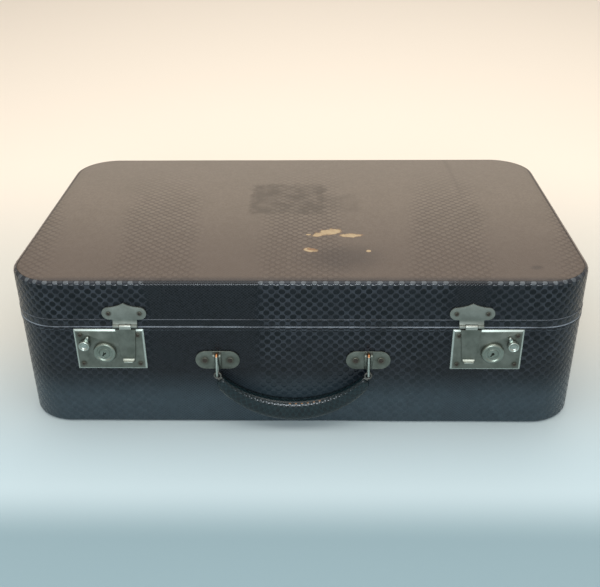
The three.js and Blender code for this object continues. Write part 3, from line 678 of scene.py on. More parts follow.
# %% Lofting helper
def loft(name, rings, closed=False, sheet=None):
    """Joins rings of points, each ring closed on itself. An open loft gets a cap at each end."""
    mesh = bpy.data.meshes.new(name)
    bm = bmesh.new()
    layer = bm.loops.layers.uv.new("sheet")
    rows = [[bm.verts.new(p) for p in ring] for ring in rings]
    count = len(rings[0])
    pairs = len(rows) if closed else len(rows) - 1
    for i in range(pairs):
        j = (i + 1) % len(rows)
        for k in range(count):
            n = (k + 1) % count
            face = bm.faces.new((rows[i][k], rows[i][n], rows[j][n], rows[j][k]))
            if sheet:
                corners = ((i, k), (i, k + 1), (i + 1, k + 1), (i + 1, k))
                for loop, (row, column) in zip(face.loops, corners):
                    loop[layer].uv = sheet(row, column)
    if not closed:
        for row in (rows[0], rows[-1]):
            face = bm.faces.new(row)
            for loop in face.loops:
                loop[layer].uv = (loop.vert.co.x, loop.vert.co.y)
    bmesh.ops.recalc_face_normals(bm, faces=bm.faces)
    bm.to_mesh(mesh)
    bm.free()
    return mesh


def add_piece(name, mesh, material, body, slot, *nodes, sharp=40):
    """Puts a finished mesh on its body, in place of the nodes that it stands for."""
    mesh.materials.clear()
    mesh.materials.append(material)
    mesh.shade_smooth()
    mesh.set_sharp_from_angle(angle=math.radians(sharp))
    piece = placed(name, mesh)
    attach(piece, body)
    if nodes:
        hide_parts(*nodes)
    print(f"{name}: {len(mesh.polygons)} faces on {body}")
    return piece


def turns(steps):
    """Angles once round a circle."""
    return [2 * math.pi * k / steps for k in range(steps)]


def arc(centre, radius, start, end, steps):
    """Points on an arc, angles in degrees."""
    angles = [math.radians(start + (end - start) * i / steps) for i in range(steps + 1)]
    return [(centre[0] + radius * math.cos(a), centre[1] + radius * math.sin(a)) for a in angles]


# %% [markdown]
# ## Round the case
# A section is drawn in two numbers: how far in from the outer face, and how high. It is led round
# the plan, which is four straight sides and four quarter circles. A little wander keeps the long
# sides from looking machined.

# %% Plan path and sweeps
def plan_path(corner_steps=14, side_step=6 * MM):
    """Columns round the case from the middle of the back: place, outward normal, length so far."""
    cx, cy = HALF_W - CORNER_R, HALF_D - CORNER_R
    stations = []

    def side(start, end, normal):
        steps = max(1, round((end - start).length / side_step))
        for i in range(steps):
            stations.append((start.lerp(end, i / steps), normal))

    def corner(centre, start):
        for i in range(corner_steps):
            a = math.radians(start + 90 * i / corner_steps)
            normal = Vector((math.cos(a), math.sin(a)))
            stations.append((centre + CORNER_R * normal, normal))

    side(Vector((0, HALF_D)), Vector((-cx, HALF_D)), Vector((0, 1)))
    corner(Vector((-cx, cy)), 90)
    side(Vector((-HALF_W, cy)), Vector((-HALF_W, -cy)), Vector((-1, 0)))
    corner(Vector((-cx, -cy)), 180)
    side(Vector((-cx, -HALF_D)), Vector((cx, -HALF_D)), Vector((0, -1)))
    corner(Vector((cx, -cy)), 270)
    side(Vector((HALF_W, -cy)), Vector((HALF_W, cy)), Vector((1, 0)))
    corner(Vector((cx, cy)), 0)
    side(Vector((cx, HALF_D)), Vector((0, HALF_D)), Vector((0, 1)))
    columns = []
    run = 0.0
    for i, (place, normal) in enumerate(stations):
        columns.append((place, normal, run))
        run += (stations[(i + 1) % len(stations)][0] - place).length
    return columns, run


PATH, PATH_LENGTH = plan_path()
FRONT_MIDDLE = PATH_LENGTH / 2


def swept(name, section, wander=0.0):
    """Leads a section of (inset, height) round the plan."""
    lengths = [0.0]
    for (a, b), (c, d) in zip(section, section[1:] + section[:1]):
        lengths.append(lengths[-1] + math.hypot(c - a, d - b))
    rings = []
    for inset, z in section:
        ring = []
        for place, normal, _ in PATH:
            sway = wander * noise.noise(Vector((place.x, place.y, z)) * 14)
            spot = place - normal * (inset - sway)
            ring.append((spot.x, spot.y, z))
        rings.append(ring)

    def sheet(row, column):
        along = PATH[column][2] if column < len(PATH) else PATH_LENGTH
        return (along - FRONT_MIDDLE, lengths[row])

    return loft(name, rings, True, sheet)


def plan_ring(inset, z, share=1.0, lift=None):
    """The plan's outline drawn in by inset, and then shrunk towards the middle to this share."""
    spots = [(place - normal * inset) * share for place, normal, _ in PATH]
    return [(spot.x, spot.y, z + (lift(spot) if lift else 0.0)) for spot in spots]


def crown(spot):
    """How far the top panel stands above its edge."""
    a = min(1, abs(spot.x) / HALF_W)
    b = min(1, abs(spot.y) / HALF_D)
    return CROWN * (1 - a**4) * (1 - b**4)


print(f"path of {len(PATH)} columns, {PATH_LENGTH:.3f} m round")

# %% [markdown]
# ## Base
# The wall's skin turns under the bottom edge, where a flat bottom skin covers its raw edge. Along
# the rim a strip is folded over the board's edge, a little proud, with a highlight line painted along it.

# %% Base skins
BOTTOM_ROLL = 3.0 * MM
TURN_UNDER = 12 * MM
BASE_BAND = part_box("base_rim_binding")[0].z


def base_skin():
    section = [(TURN_UNDER, 0.0)]
    section += [(BOTTOM_ROLL - x, BOTTOM_ROLL + z) for x, z in arc((0, 0), BOTTOM_ROLL, 270, 360, 6)]
    section += [(0, z) for z in (0.02, 0.045, 0.07)]
    section += [(0, BASE_BAND + 0.6 * MM), (SKIN, BASE_BAND + 0.6 * MM)]
    section += [(SKIN, 0.045), (SKIN, BOTTOM_ROLL)]
    section += [(BOTTOM_ROLL, SKIN), (TURN_UNDER, SKIN)]
    return swept("base_skin", section, 0.35 * MM)


def flat_panel(name, inset, z0, z1, edge=0.0, lift=None, rows=16):
    """A closed sheet over the whole plan, from z0 to z1, its rings drawn in towards the middle."""
    shares = [(i / rows) ** 0.8 for i in range(1, rows + 1)]
    rings = [plan_ring(inset, z0, share, lift) for share in shares]
    if edge:
        rings.append(plan_ring(inset, z1 - edge, 1.0, lift))
        shares[-1] = 1 - edge / HALF_D
    rings += [plan_ring(inset, z1, share, lift) for share in reversed(shares)]

    def sheet(row, column):
        return rings[row][column % len(PATH)][:2]

    return loft(name, rings, sheet=sheet)


add_piece("base_skin", base_skin(), wall_cloth, "base", "leathercloth", "base_wall_covering")
add_piece(
    "bottom_skin",
    flat_panel("bottom_skin", TURN_UNDER + 0.4 * MM, 0.0, 0.9 * MM),
    wall_cloth, "base", "leathercloth", "base_bottom_covering",
)

# %% [markdown]
# ## Rims
# Where the halves meet, a strip is folded over each board's edge. Its section is a hook, and the
# same hook turned over serves the lid.

# %% Rim bindings
def rim_section(z_face, z_far, proud, inner):
    """A strip folded over a rim whose face is at z_face; z_far is its outer leg's far edge."""
    up = 1 if z_far > z_face else -1
    roll = 0.9 * MM
    out = -proud
    outer = [(out + 0.35 * MM, z_far), (out, z_far - up * 0.35 * MM)]
    outer += [(out, z_face + up * roll), (out + roll * 0.3, z_face + up * roll * 0.3)]
    outer += [(out + roll, z_face), (inner - roll, z_face), (inner, z_face + up * roll)]
    inner_leg = [(inner, z_far), (inner - 0.6 * MM, z_far)]
    back = [(inner - 0.6 * MM, z_face + up * SKIN), (SKIN, z_face + up * SKIN), (SKIN, z_far)]
    return outer + inner_leg + back


LINING_IN = 5.7 * MM
base_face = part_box("base_rim_binding")[1].z
lid_face, lid_band = (corner.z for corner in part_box("lid_rim_binding"))
base_rim = swept("base_rim", rim_section(base_face, BASE_BAND, 0.55 * MM, LINING_IN), 0.2 * MM)
lid_rim = swept("lid_rim", rim_section(lid_face, lid_band, 0.4 * MM, LINING_IN), 0.2 * MM)
add_piece("base_rim_strip", base_rim, rim_cloth, "base", "leathercloth", "base_rim_binding")
add_piece("lid_rim_strip", lid_rim, rim_cloth, "lid", "leathercloth", "lid_rim_binding")

# %% [markdown]
# ## Lid
# The wall's skin rolls over the top edge and turns in, and the faded panel butts against its raw
# edge. The panel bulges by a few millimetres, so it is one sheet whose height follows a rule.

# %% Lid skins
TOP_ROLL = 3.0 * MM
PANEL_OUT = HALF_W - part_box("lid_top_covering")[1].x
TURN_IN = PANEL_OUT - 0.25 * MM


def lid_skin():
    z0 = lid_band - 0.5 * MM
    section = [(SKIN, z0), (0, z0)]
    section += [(0, z0 + (LID_EDGE - TOP_ROLL - z0) * i / 3) for i in range(1, 3)]
    section += [(TOP_ROLL - x, LID_EDGE - TOP_ROLL + z) for x, z in arc((0, 0), TOP_ROLL, 0, 84, 9)]
    section[-1] = (TURN_IN, LID_EDGE - 0.05 * MM)
    section += [(TURN_IN, LID_EDGE - 0.9 * MM)]
    section += [(SKIN + 0.5 * MM, LID_EDGE - 2 * MM), (SKIN, LID_EDGE - TOP_ROLL)]
    return swept("lid_skin", section, 0.3 * MM)


def top_panel():
    edge = 0.35 * MM
    return flat_panel("top_panel", PANEL_OUT, LID_EDGE - SKIN, LID_EDGE, edge, crown, 22)


add_piece("lid_skin", lid_skin(), lid_cloth, "lid", "leathercloth", "lid_wall_covering")
add_piece("top_panel", top_panel(), top_cloth, "lid", "faded_leathercloth", "lid_top_covering")

# %% [markdown]
# ## Inside
# The lining is a thin tray in each half. The closing lip stands inside the base's rim and fills
# the lid's mouth when the case is shut. The boards stay as the frame gives them, in their finish.

# %% Linings, lip and boards
def tray(name, z_floor, z_mouth, inset_out, inset_in):
    """An open box of thin lining: its floor at z_floor, its mouth at z_mouth."""
    up = 1 if z_mouth > z_floor else -1
    thick = inset_in - inset_out
    roll = 4 * MM
    inner = roll - thick
    floor_shares = (0.02, 0.3, 0.6, 0.85)
    bend = [math.radians(90 * i / 6) for i in range(7)]
    rings = [plan_ring(inset_out + roll, z_floor, share) for share in floor_shares]
    for a in bend:
        drawn = inset_out + roll * (1 - math.sin(a))
        rings.append(plan_ring(drawn, z_floor + up * roll * (1 - math.cos(a))))
    rings.append(plan_ring(inset_out, z_mouth))
    rings.append(plan_ring(inset_in, z_mouth))
    for a in reversed(bend):
        drawn = inset_in + inner * (1 - math.sin(a))
        rings.append(plan_ring(drawn, z_floor + up * (thick + inner * (1 - math.cos(a)))))
    rings += [plan_ring(inset_in + inner, z_floor + up * thick, share) for share in reversed(floor_shares)]
    return loft(name, rings)


def lip():
    low, high = (corner.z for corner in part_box("closing_lip"))
    a, b = 6.0 * MM, 7.5 * MM
    mid = (a + b) / 2
    half = (b - a) / 2
    head = [(mid - x, high - half + z) for x, z in arc((0, 0), half, 0, 180, 8)]
    return swept("closing_lip_strip", [(a, low), *head, (b, low)], 0.15 * MM)


base_lining_low, base_lining_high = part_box("base_lining")
lid_lining_low, lid_lining_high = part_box("lid_lining")
base_tray = tray("base_tray", base_lining_low.z, base_lining_high.z, 5.1 * MM, LINING_IN)
lid_tray = tray("lid_tray", lid_lining_high.z, lid_lining_low.z, 5.1 * MM, LINING_IN)
add_piece("base_tray", base_tray, lining, "base", "lining_paper", "base_lining")
add_piece("lid_tray", lid_tray, lining, "lid", "lining_paper", "lid_lining")
add_piece("closing_lip_strip", lip(), lip_cloth, "base", "lip_cloth", "closing_lip")
for node in ("base_wall", "base_bottom", "lid_wall", "lid_top_panel"):
    refinish(node, board)

# %% [markdown]
# ## Sheet metal
# A stamped plate is an outline pushed to a thickness, with holes cut through it and every edge
# eased. Booleans make the holes, and a small bevel turns each edge into a line of light.

# %% Hardware helpers
def fitting_place(middle, sign):
    """Places given by u, outwards along the wall, h, off the wall's face, and z."""
    return lambda u, h, z: (middle + sign * u, FRONT - h, z)


def stamped(name, outline, place, h0, h1):
    """An outline in u and z, solid from h0 to h1."""
    rings = [[place(u, h, z) for u, z in outline] for h in (h0, h1)]
    return loft(name, rings)


def folded(name, outline, place, u0, u1):
    """A side view in h and z, solid from u0 to u1."""
    rings = [[place(u, h, z) for h, z in outline] for u in (u0, u1)]
    return loft(name, rings)


def turned(profile, centre, place, steps=40):
    """A profile of (radius, h) turned about the axis through centre (u, z)."""
    rings = []
    for radius, h in profile:
        spots = [(centre[0] + radius * math.cos(a), centre[1] + radius * math.sin(a)) for a in turns(steps)]
        rings.append([place(u, h, z) for u, z in spots])
    return rings


def rod(name, u0, u1, centre, radius, place, steps=28):
    """A round rod along the wall from u0 to u1; centre is (h, z)."""
    spots = [(centre[0] + radius * math.cos(a), centre[1] + radius * math.sin(a)) for a in turns(steps)]
    return folded(name, spots, place, u0, u1)


def combined(mesh, operation, *others):
    """The mesh joined with, or cut by, each of the others in turn."""
    piece = placed("work", mesh)
    tools = []
    for other in others:
        tool = placed("tool", other)
        tools.append(tool)
        modifier = piece.modifiers.new("boolean", "BOOLEAN")
        modifier.operation = operation
        modifier.solver = "EXACT"
        modifier.object = tool
    made = settled(piece)
    for tool in tools:
        bpy.data.objects.remove(tool)
    return made


def settled(piece):
    """The piece's mesh with its modifiers applied; the piece itself is removed."""
    graph = bpy.context.evaluated_depsgraph_get()
    graph.update()
    made = bpy.data.meshes.new_from_object(piece.evaluated_get(graph))
    bpy.data.objects.remove(piece)
    return made


def eased(mesh, width, segments=3, angle=30):
    """The mesh with its sharp edges rounded."""
    piece = placed("work", mesh)
    weld = piece.modifiers.new("weld", "WELD")
    weld.merge_threshold = 0.005 * MM
    modifier = piece.modifiers.new("bevel", "BEVEL")
    modifier.width = width
    modifier.segments = segments
    modifier.limit_method = "ANGLE"
    modifier.angle_limit = math.radians(angle)
    return settled(piece)


def box_outline(a0, a1, b0, b1):
    return [(a0, b0), (a1, b0), (a1, b1), (a0, b1)]


def rounded_box(a0, a1, b0, b1, radius, steps=6):
    points = arc((a1 - radius, b1 - radius), radius, 0, 90, steps)
    points += arc((a0 + radius, b1 - radius), radius, 90, 180, steps)
    points += arc((a0 + radius, b0 + radius), radius, 180, 270, steps)
    points += arc((a1 - radius, b0 + radius), radius, 270, 360, steps)
    return points


# %% [markdown]
# ## Locks
# Each lock is a pressed pan with a sloping border, a round boss for the key barrel, a plug with
# its keyhole, and a thumb button with a beaded tail. The left lock mirrors the right one, but both
# keyholes slant the same way.

# %% Lock plate
SIDES = (("left", -1), ("right", 1))
PLATE_LOW, PLATE_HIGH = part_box("lock_plate_right")
PLATE_HALF = (PLATE_HIGH.x - PLATE_LOW.x) / 2
PLATE_FACE = FRONT - PLATE_LOW.y
LOCK_X = {sign: middle_of(f"lock_plate_{side}")[0] for side, sign in SIDES}
HASP_X = {sign: middle_of(f"hasp_pin_{side}")[0] for side, sign in SIDES}
HOOK_U = HASP_X[1] - LOCK_X[1]
BOSS_LOW, BOSS_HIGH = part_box("key_boss_right")
KEY = (middle_of("key_boss_right")[0] - LOCK_X[1], middle_of("key_boss_right")[2])
BOSS_R = (BOSS_HIGH.z - BOSS_LOW.z) / 2
BOSS_FACE = FRONT - BOSS_LOW.y
BUTTON_LOW, BUTTON_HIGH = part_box("lock_button_right")
BUTTON_R = 4.3 * MM
BUTTON = (BUTTON_HIGH.x - BUTTON_R - LOCK_X[1], BUTTON_LOW.z + BUTTON_R)
TAIL = (-3.0 * MM, 6.6 * MM)
BUTTON_TRAVEL = 3 * MM
HOOK_Z = (76 * MM, 81 * MM)
print("key at", [round(v, 4) for v in KEY], "button at", [round(v, 4) for v in BUTTON])


def lock_place(sign):
    return fitting_place(LOCK_X[sign], sign)


def hasp_place(sign):
    return fitting_place(HASP_X[sign], sign)


def pan(place):
    """The pressed plate, hollow behind, with a border that slopes up to its face."""
    slope = 1.7 * MM
    step = 0.9 * MM
    z0, z1 = PLATE_LOW.z, PLATE_HIGH.z
    back = 0.3 * MM
    sections = ((0, back), (0, PLATE_FACE - step), (slope, PLATE_FACE))

    def frame_ring(inset, h):
        corners = rounded_box(-PLATE_HALF + inset, PLATE_HALF - inset, z0 + inset, z1 - inset, 0.5 * MM, 3)
        return [place(u, h, z) for u, z in corners]

    return loft("pan", [frame_ring(inset, h) for inset, h in sections])


def lock_plate(sign):
    place = lock_place(sign)
    slot = 1.8 * MM
    half = PLATE_HALF - 2.6 * MM
    hollow = box_outline(-half, half, PLATE_LOW.z + 2.6 * MM, PLATE_HIGH.z - 2.6 * MM)
    button_slot = rounded_box(
        BUTTON[0] - slot, BUTTON[0] + BUTTON_TRAVEL + slot, BUTTON[1] - slot, BUTTON[1] + slot, 1.7 * MM
    )
    notch = box_outline(HOOK_U - 2 * MM, HOOK_U + 2 * MM, HOOK_Z[0] - 1 * MM, PLATE_HIGH.z + 1 * MM)
    cuts = [
        stamped("hollow", hollow, place, -1 * MM, PLATE_FACE - 0.9 * MM),
        stamped("slot", button_slot, place, -1 * MM, 4 * MM),
        stamped("notch", notch, place, -1 * MM, 4 * MM),
        loft("bore", turned([(5.9 * MM, -1 * MM), (5.9 * MM, 4 * MM)], KEY, place)),
    ]
    return eased(combined(pan(place), "DIFFERENCE", *cuts), 0.14 * MM, 2)


# %% [markdown]
# ## Key boss and plug
# Both are turned shapes: a profile of radius and height is led round the key's axis. The keyhole is
# cut into the plug, so that it turns with it.

# %% Key boss and plug
def key_boss(sign):
    """A cup whose rim is a round bead; its face dips towards the plug."""
    place = lock_place(sign)
    bore = 4.3 * MM
    sleeve = 5.6 * MM
    low = PLATE_FACE + 0.05 * MM
    r, face = BOSS_R, BOSS_FACE
    bead = 1.7 * MM
    profile = [(bore, -3.6 * MM), (sleeve, -3.6 * MM), (sleeve, low), (r - 0.15 * MM, low)]
    profile += [(r, low + 0.3 * MM)]
    profile += arc((r - bead, face - bead), bead, 0, 135, 9)
    profile += [(r - 3.2 * MM, face - 0.75 * MM), (r - 3.7 * MM, face - 0.75 * MM)]
    profile += [(bore + 0.2 * MM, face - 0.6 * MM), (bore, face - 0.7 * MM)]
    return loft("key_boss", turned(profile, KEY, place, 56), closed=True)


def key_plug(sign):
    """The plug's face is sunk a little, with a round hole and a slot below it."""
    place = lock_place(sign)
    r = 4.22 * MM
    face = BOSS_FACE - 0.5 * MM
    profile = [(r, -4.5 * MM), (r, face - 0.3 * MM), (r - 0.3 * MM, face)]
    body = loft("plug", turned(profile, KEY, place, 40))
    slant = math.radians(35) * sign
    down = (-math.sin(slant), -math.cos(slant))
    side = (-down[1], down[0])
    reach, half = 3.0 * MM, 0.55 * MM
    corners = [(0, -half), (reach, -half), (reach, half), (0, half)]
    slot = [(KEY[0] + a * down[0] + b * side[0], KEY[1] + a * down[1] + b * side[1]) for a, b in corners]
    hole = turned([(1.2 * MM, 1 * MM), (1.2 * MM, 7 * MM)], KEY, place, 20)
    cuts = [stamped("slot", slot, place, 1 * MM, 7 * MM), loft("hole", hole)]
    cam = box_outline(KEY[0] - 1.6 * MM, KEY[0] + 1.6 * MM, KEY[1] - 5 * MM, KEY[1])
    made = combined(body, "DIFFERENCE", *cuts)
    made = combined(made, "UNION", stamped("cam", cam, place, -4.6 * MM, -3.9 * MM))
    return eased(made, 0.08 * MM, 2)


# %% [markdown]
# ## Thumb button
# The button is a dished head on a stem, which slides outwards in its slot. A short tail with a bead
# at its tip is joined on. The loop below then puts every part of both locks on its body.

# %% Thumb button
def thumb_button(sign):
    """A dished head with a round rim, on a stem, with a tail that ends in a bead."""
    place = lock_place(sign)
    low = PLATE_FACE + 0.8 * MM
    top = low + 4.1 * MM
    r = BUTTON_R
    rim = 0.75 * MM
    profile = [(1.5 * MM, 1.3 * MM), (1.5 * MM, low), (r - 0.6 * MM, low), (r, low + 0.7 * MM)]
    profile += [(r, top - rim)]
    profile += arc((r - rim, top - rim), rim, 15, 150, 8)
    profile += [(r - 1.9 * MM, top - 0.9 * MM), (r - 2.8 * MM, top - 1.15 * MM), (0.3 * MM, top - 1.2 * MM)]
    head = loft("button", turned(profile, BUTTON, place, 40))
    bead = (BUTTON[0] + TAIL[0], BUTTON[1] + TAIL[1])
    ball = []
    for i in range(1, 12):
        a = math.pi * i / 12
        ball.append((1.3 * MM * math.sin(a), low + 1.1 * MM - 1.3 * MM * math.cos(a)))
    bead_mesh = loft("bead", turned(ball, bead, place, 18))
    tail = [
        (BUTTON[0] - 2.9 * MM, BUTTON[1] + 1.5 * MM),
        (BUTTON[0] + 1.0 * MM, BUTTON[1] + 3.0 * MM),
        (bead[0] + 0.9 * MM, bead[1] + 0.3 * MM),
        (bead[0] - 0.9 * MM, bead[1] - 0.4 * MM),
    ]
    neck = eased(stamped("tail", tail, place, low + 0.15 * MM, low + 1.9 * MM), 0.3 * MM, 2)
    return combined(head, "UNION", neck, bead_mesh)


for side, sign in SIDES:
    rivet_spots = []
    for corner in ("low_inner", "low_outer", "high_inner", "high_outer"):
        x, _, z = middle_of(f"lock_rivet_{side}_{corner}")
        rivet_spots.append((x, z, 1.9 * MM))
    plate_nickel = nickel(f"nickel_plate_{side}", rivet_spots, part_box(f"lock_plate_{side}"))
    add_piece(f"pan_{side}", lock_plate(sign), plate_nickel, "base", "nickel_plate",
              f"lock_plate_{side}", sharp=25)
    add_piece(f"boss_{side}", key_boss(sign), boss_nickel, "base", "nickel_plate",
              f"key_boss_{side}", sharp=50)
    add_piece(f"plug_{side}", key_plug(sign), boss_nickel, f"key_{side}", "steel",
              f"key_plug_{side}", sharp=30)
    add_piece(f"button_{side}", thumb_button(sign), painted_lit_nickel, f"button_{side}", "nickel_plate",
              f"lock_button_{side}", sharp=50)
    refinish(f"lock_bolt_{side}", steel)

# %% [markdown]
# ## Hasps
# The hinge plate is riveted to the lid and rolled into two knuckles. The leaf between them swings
# on a pin, carries the hook behind it, and ends in a small lip that turns out to lift it by.

# %% Hasp plate and leaf
pin_low, pin_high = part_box("hasp_pin_right")
PIVOT = (FRONT - middle_of("hasp_pin_right")[1], middle_of("hasp_pin_right")[2])
PIN_R = 0.75 * MM
BORE_R = 0.95 * MM
BARREL_R = 1.6 * MM
KNUCKLE = 4.6 * MM
LEAF_BACK = PLATE_FACE + 0.3 * MM
LEAF_FRONT = LEAF_BACK + 1.2 * MM
LEAF_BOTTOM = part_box("hasp_leaf_right")[0].z
LEAF_TOP = PIVOT[1] - 2.1 * MM
HASP_RIVET_Z = middle_of("hasp_rivet_right_b")[2]
HASP_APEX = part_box("hasp_plate_right")[1].z


def shoulder(start, bend, stop, t):
    """A place on the curve from start to stop that leans towards bend."""
    spot = Vector(start) * (1 - t) ** 2 + Vector(bend) * 2 * t * (1 - t) + Vector(stop) * t * t
    return (spot.x, spot.y)


def hasp_plate(sign):
    place = hasp_place(sign)
    end_u, end_z, end_r = 12 * MM, HASP_RIVET_Z, 5.4 * MM
    neck = 9.5 * MM
    top = end_z + end_r
    right = [(neck, PIVOT[1]), (neck, end_z - end_r - 0.5 * MM), (neck + 0.5 * MM, end_z - end_r)]
    right += arc((end_u, end_z), end_r, -90, 90, 12)
    for i in range(1, 9):
        right.append(shoulder((end_u, top), (5 * MM, top + 0.5 * MM), (0, HASP_APEX), i / 8))
    left = [(-u, z) for u, z in reversed(right[:-1])]
    sheet = stamped("hasp_plate", right + left, place, 0.25 * MM, 1.5 * MM)
    barrel = rod("barrel", -neck, neck, PIVOT, BARREL_R, place)
    bend = [(0.4, 5.8), (1.1, 5.8), (1.2, 4.2), (2.5, 1.4), (2.6, 0.0), (0.4, 1.0)]
    bend = [(h * MM, PIVOT[1] + z * MM) for h, z in bend]
    body = combined(sheet, "UNION", folded("bend", bend, place, -neck, neck), barrel)
    gap = KNUCKLE + 0.3 * MM
    high = PIVOT[1] + BARREL_R + 0.3 * MM
    middle = stamped("gap", box_outline(-gap, gap, 0.08, high), place, -1 * MM, 6 * MM)
    bore = rod("bore", -0.02, 0.02, PIVOT, BORE_R, place)
    return eased(combined(body, "DIFFERENCE", middle, bore), 0.35 * MM, 3)


def hasp_leaf(sign):
    """A blade that narrows downwards, its knuckle, and the hook behind it."""
    place = hasp_place(sign)
    wide, narrow = 8.0 * MM, 4.9 * MM
    b, f = LEAF_BACK, LEAF_FRONT
    top = LEAF_TOP - 0.4 * MM
    outline = [(-narrow, LEAF_BOTTOM), (narrow, LEAF_BOTTOM), (wide, top), (-wide, top)]
    blade = stamped("blade", outline, place, b, f)
    tongue_outline = box_outline(-KNUCKLE, KNUCKLE, LEAF_TOP - 1 * MM, PIVOT[1])
    tongue = stamped("tongue", tongue_outline, place, b, f)
    barrel = rod("barrel", -KNUCKLE, KNUCKLE, PIVOT, BARREL_R, place)
    hook_outline = box_outline(-1.5 * MM, 1.5 * MM, HOOK_Z[0], HOOK_Z[1])
    hook = stamped("hook", hook_outline, place, 0.3 * MM, b + 0.5 * MM)
    blade = combined(blade, "UNION", tongue, barrel, hook)
    bore = rod("bore", -0.02, 0.02, PIVOT, BORE_R, place)
    return eased(combined(blade, "DIFFERENCE", bore), 0.2 * MM, 3)


def lift_lip(sign):
    """The turned-out tip: a curved strip that narrows towards its edge."""
    place = hasp_place(sign)
    drops = [(-0.5, 4.4), (0.1, 3.7), (1.0, 3.1), (2.1, 2.7), (3.1, 2.5)]
    path = [(LEAF_FRONT + h * MM, LEAF_BOTTOM + z * MM) for h, z in drops]
    widths = [4.8 * MM, 4.8 * MM, 4.5 * MM, 4.0 * MM, 3.5 * MM]
    thick = 0.9 * MM
    rings = []
    for (h, z), w in zip(path, widths):
        back_h, back_z = h - 0.25 * thick, z - thick
        rings.append([place(-w, h, z), place(w, h, z), place(w, back_h, back_z), place(-w, back_h, back_z)])
    return eased(loft("lip", rings), 0.2 * MM, 3)


for side, sign in SIDES:
    hasp_spots = [(HASP_X[sign] + u * MM, HASP_RIVET_Z, 1.7 * MM) for u in (-12.15, 12.15)]
    hasp_finish = nickel(f"nickel_hasp_{side}", hasp_spots, tones=PALE, rough=0.5)
    add_piece(f"hasp_hinge_plate_{side}", hasp_plate(sign), hasp_finish, "lid", "nickel_plate",
              f"hasp_plate_{side}", sharp=30)
    leaf_finish = nickel(f"nickel_leaf_{side}", painted_highlight_above=LEAF_TOP - 0.3 * MM)
    add_piece(f"hasp_blade_{side}", hasp_leaf(sign), leaf_finish, f"hasp_{side}", "nickel_plate",
              f"hasp_leaf_{side}", sharp=30)
    add_piece(f"hasp_lip_{side}", lift_lip(sign), painted_lit_nickel, f"hasp_{side}", "nickel_plate", sharp=30)
    place = hasp_place(sign)
    reach = (pin_high.x - pin_low.x) / 2
    pin = eased(rod("pin", -reach, reach, PIVOT, PIN_R, place), 0.15 * MM, 2)
    add_piece(f"hasp_pivot_{side}", pin, steel, "lid", "steel", f"hasp_pin_{side}", sharp=30)

# %% [markdown]
# ## Grip fittings
# Each end of the grip hangs from a plate with two cheeks and a bar between them. A wire ring goes
# over the bar, and an eye on the grip's steel core goes through the ring.

# %% Plates, rings and core
left_plate, right_plate = (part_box(f"handle_plate_{side}") for side, _ in SIDES)
GRIP_X = (left_plate[0].x + right_plate[1].x) / 2
FITTING_U = (right_plate[0].x + right_plate[1].x) / 2 - GRIP_X
FITTING_Z = (right_plate[0].z + right_plate[1].z) / 2
STADIUM = ((right_plate[1].x - right_plate[0].x) / 2, (right_plate[1].z - right_plate[0].z) / 2)
BAR = (5.1 * MM, FITTING_Z + 5.6 * MM)
FOOT = (6.5 * MM, 51.4 * MM)


def grip_plate(middle):
    place = fitting_place(middle, 1)
    half, r = STADIUM
    outline = arc((half - r, FITTING_Z), r, -90, 90, 16) + arc((r - half, FITTING_Z), r, 90, 270, 16)
    sheet = stamped("plate", outline, place, 0.25 * MM, 1.5 * MM)
    cheek = [(1.0, -13.1), (2.3, -13.1), (3.2, -11.7), (4.4, -9.3), (5.4, -6.3), (6.2, -3.3), (6.5, 0)]
    cheek += [(6.35, 1.1), (5.9, 1.9), (5.2, 2.3), (1.0, 2.3)]
    cheek = [(h * MM, BAR[1] + z * MM) for h, z in cheek]
    groove, wall = 1.5 * MM, 1.8 * MM
    parts = [
        folded("cheek", cheek, place, -groove - wall, -groove),
        folded("cheek", cheek, place, groove, groove + wall),
        rod("bar", -groove - 1 * MM, groove + 1 * MM, BAR, 0.8 * MM, place, 16),
    ]
    return eased(combined(sheet, "UNION", *parts), 0.5 * MM, 3)


def wire(name, points, radius, steps=12):
    """A closed loop of round wire along points in a plane; its section turns with the path."""
    count = len(points)
    flank = wire_flank(points).normalized()
    rings = []
    for i, point in enumerate(points):
        ahead = (points[(i + 1) % count] - points[i - 1]).normalized()
        outward = ahead.cross(flank).normalized()
        rings.append([point + radius * (math.cos(a) * flank + math.sin(a) * outward) for a in turns(steps)])
    return loft(name, rings, True)


def wire_flank(points):
    """The normal of the plane that the points lie in."""
    third = len(points) // 3
    return (points[third] - points[0]).cross(points[2 * third] - points[0])


def ring_wire(middle):
    """A loop over the bar that widens at its foot, where the eye hangs."""
    top_r, foot_r = 2.2 * MM, 3.6 * MM
    bar = Vector((FRONT - BAR[0], BAR[1]))
    foot = Vector((FRONT - FOOT[0], FOOT[1] + foot_r))
    points = []
    for i in range(48):
        a = 2 * math.pi * (i + 0.5) / 48
        out = Vector((math.cos(a), math.sin(a)))
        over = (bar - foot).dot(out) + top_r - foot_r > 0
        spot = bar + top_r * out if over else foot + foot_r * out
        points.append(Vector((middle, spot.x, spot.y)))
    return wire("ring", points, 0.95 * MM)


ring_nickel = nickel("ring_nickel", coppery=BAR[1] + 0.6 * MM, tones=PAINTED_LIT_TONES, rough=0.2)
for side, sign in SIDES:
    middle = GRIP_X + sign * FITTING_U
    spots = [(middle + u * MM, FITTING_Z, 2.9 * MM) for u in (-10.1, 10.1)]
    plate_finish = nickel(f"nickel_grip_{side}", spots)
    add_piece(f"grip_plate_{side}", grip_plate(middle), plate_finish, "base", "nickel_plate",
              f"handle_plate_{side}", sharp=30)
    add_piece(f"grip_ring_{side}", ring_wire(middle), ring_nickel, "handle_rings", "nickel_plate",
              f"handle_ring_{side}", sharp=60)

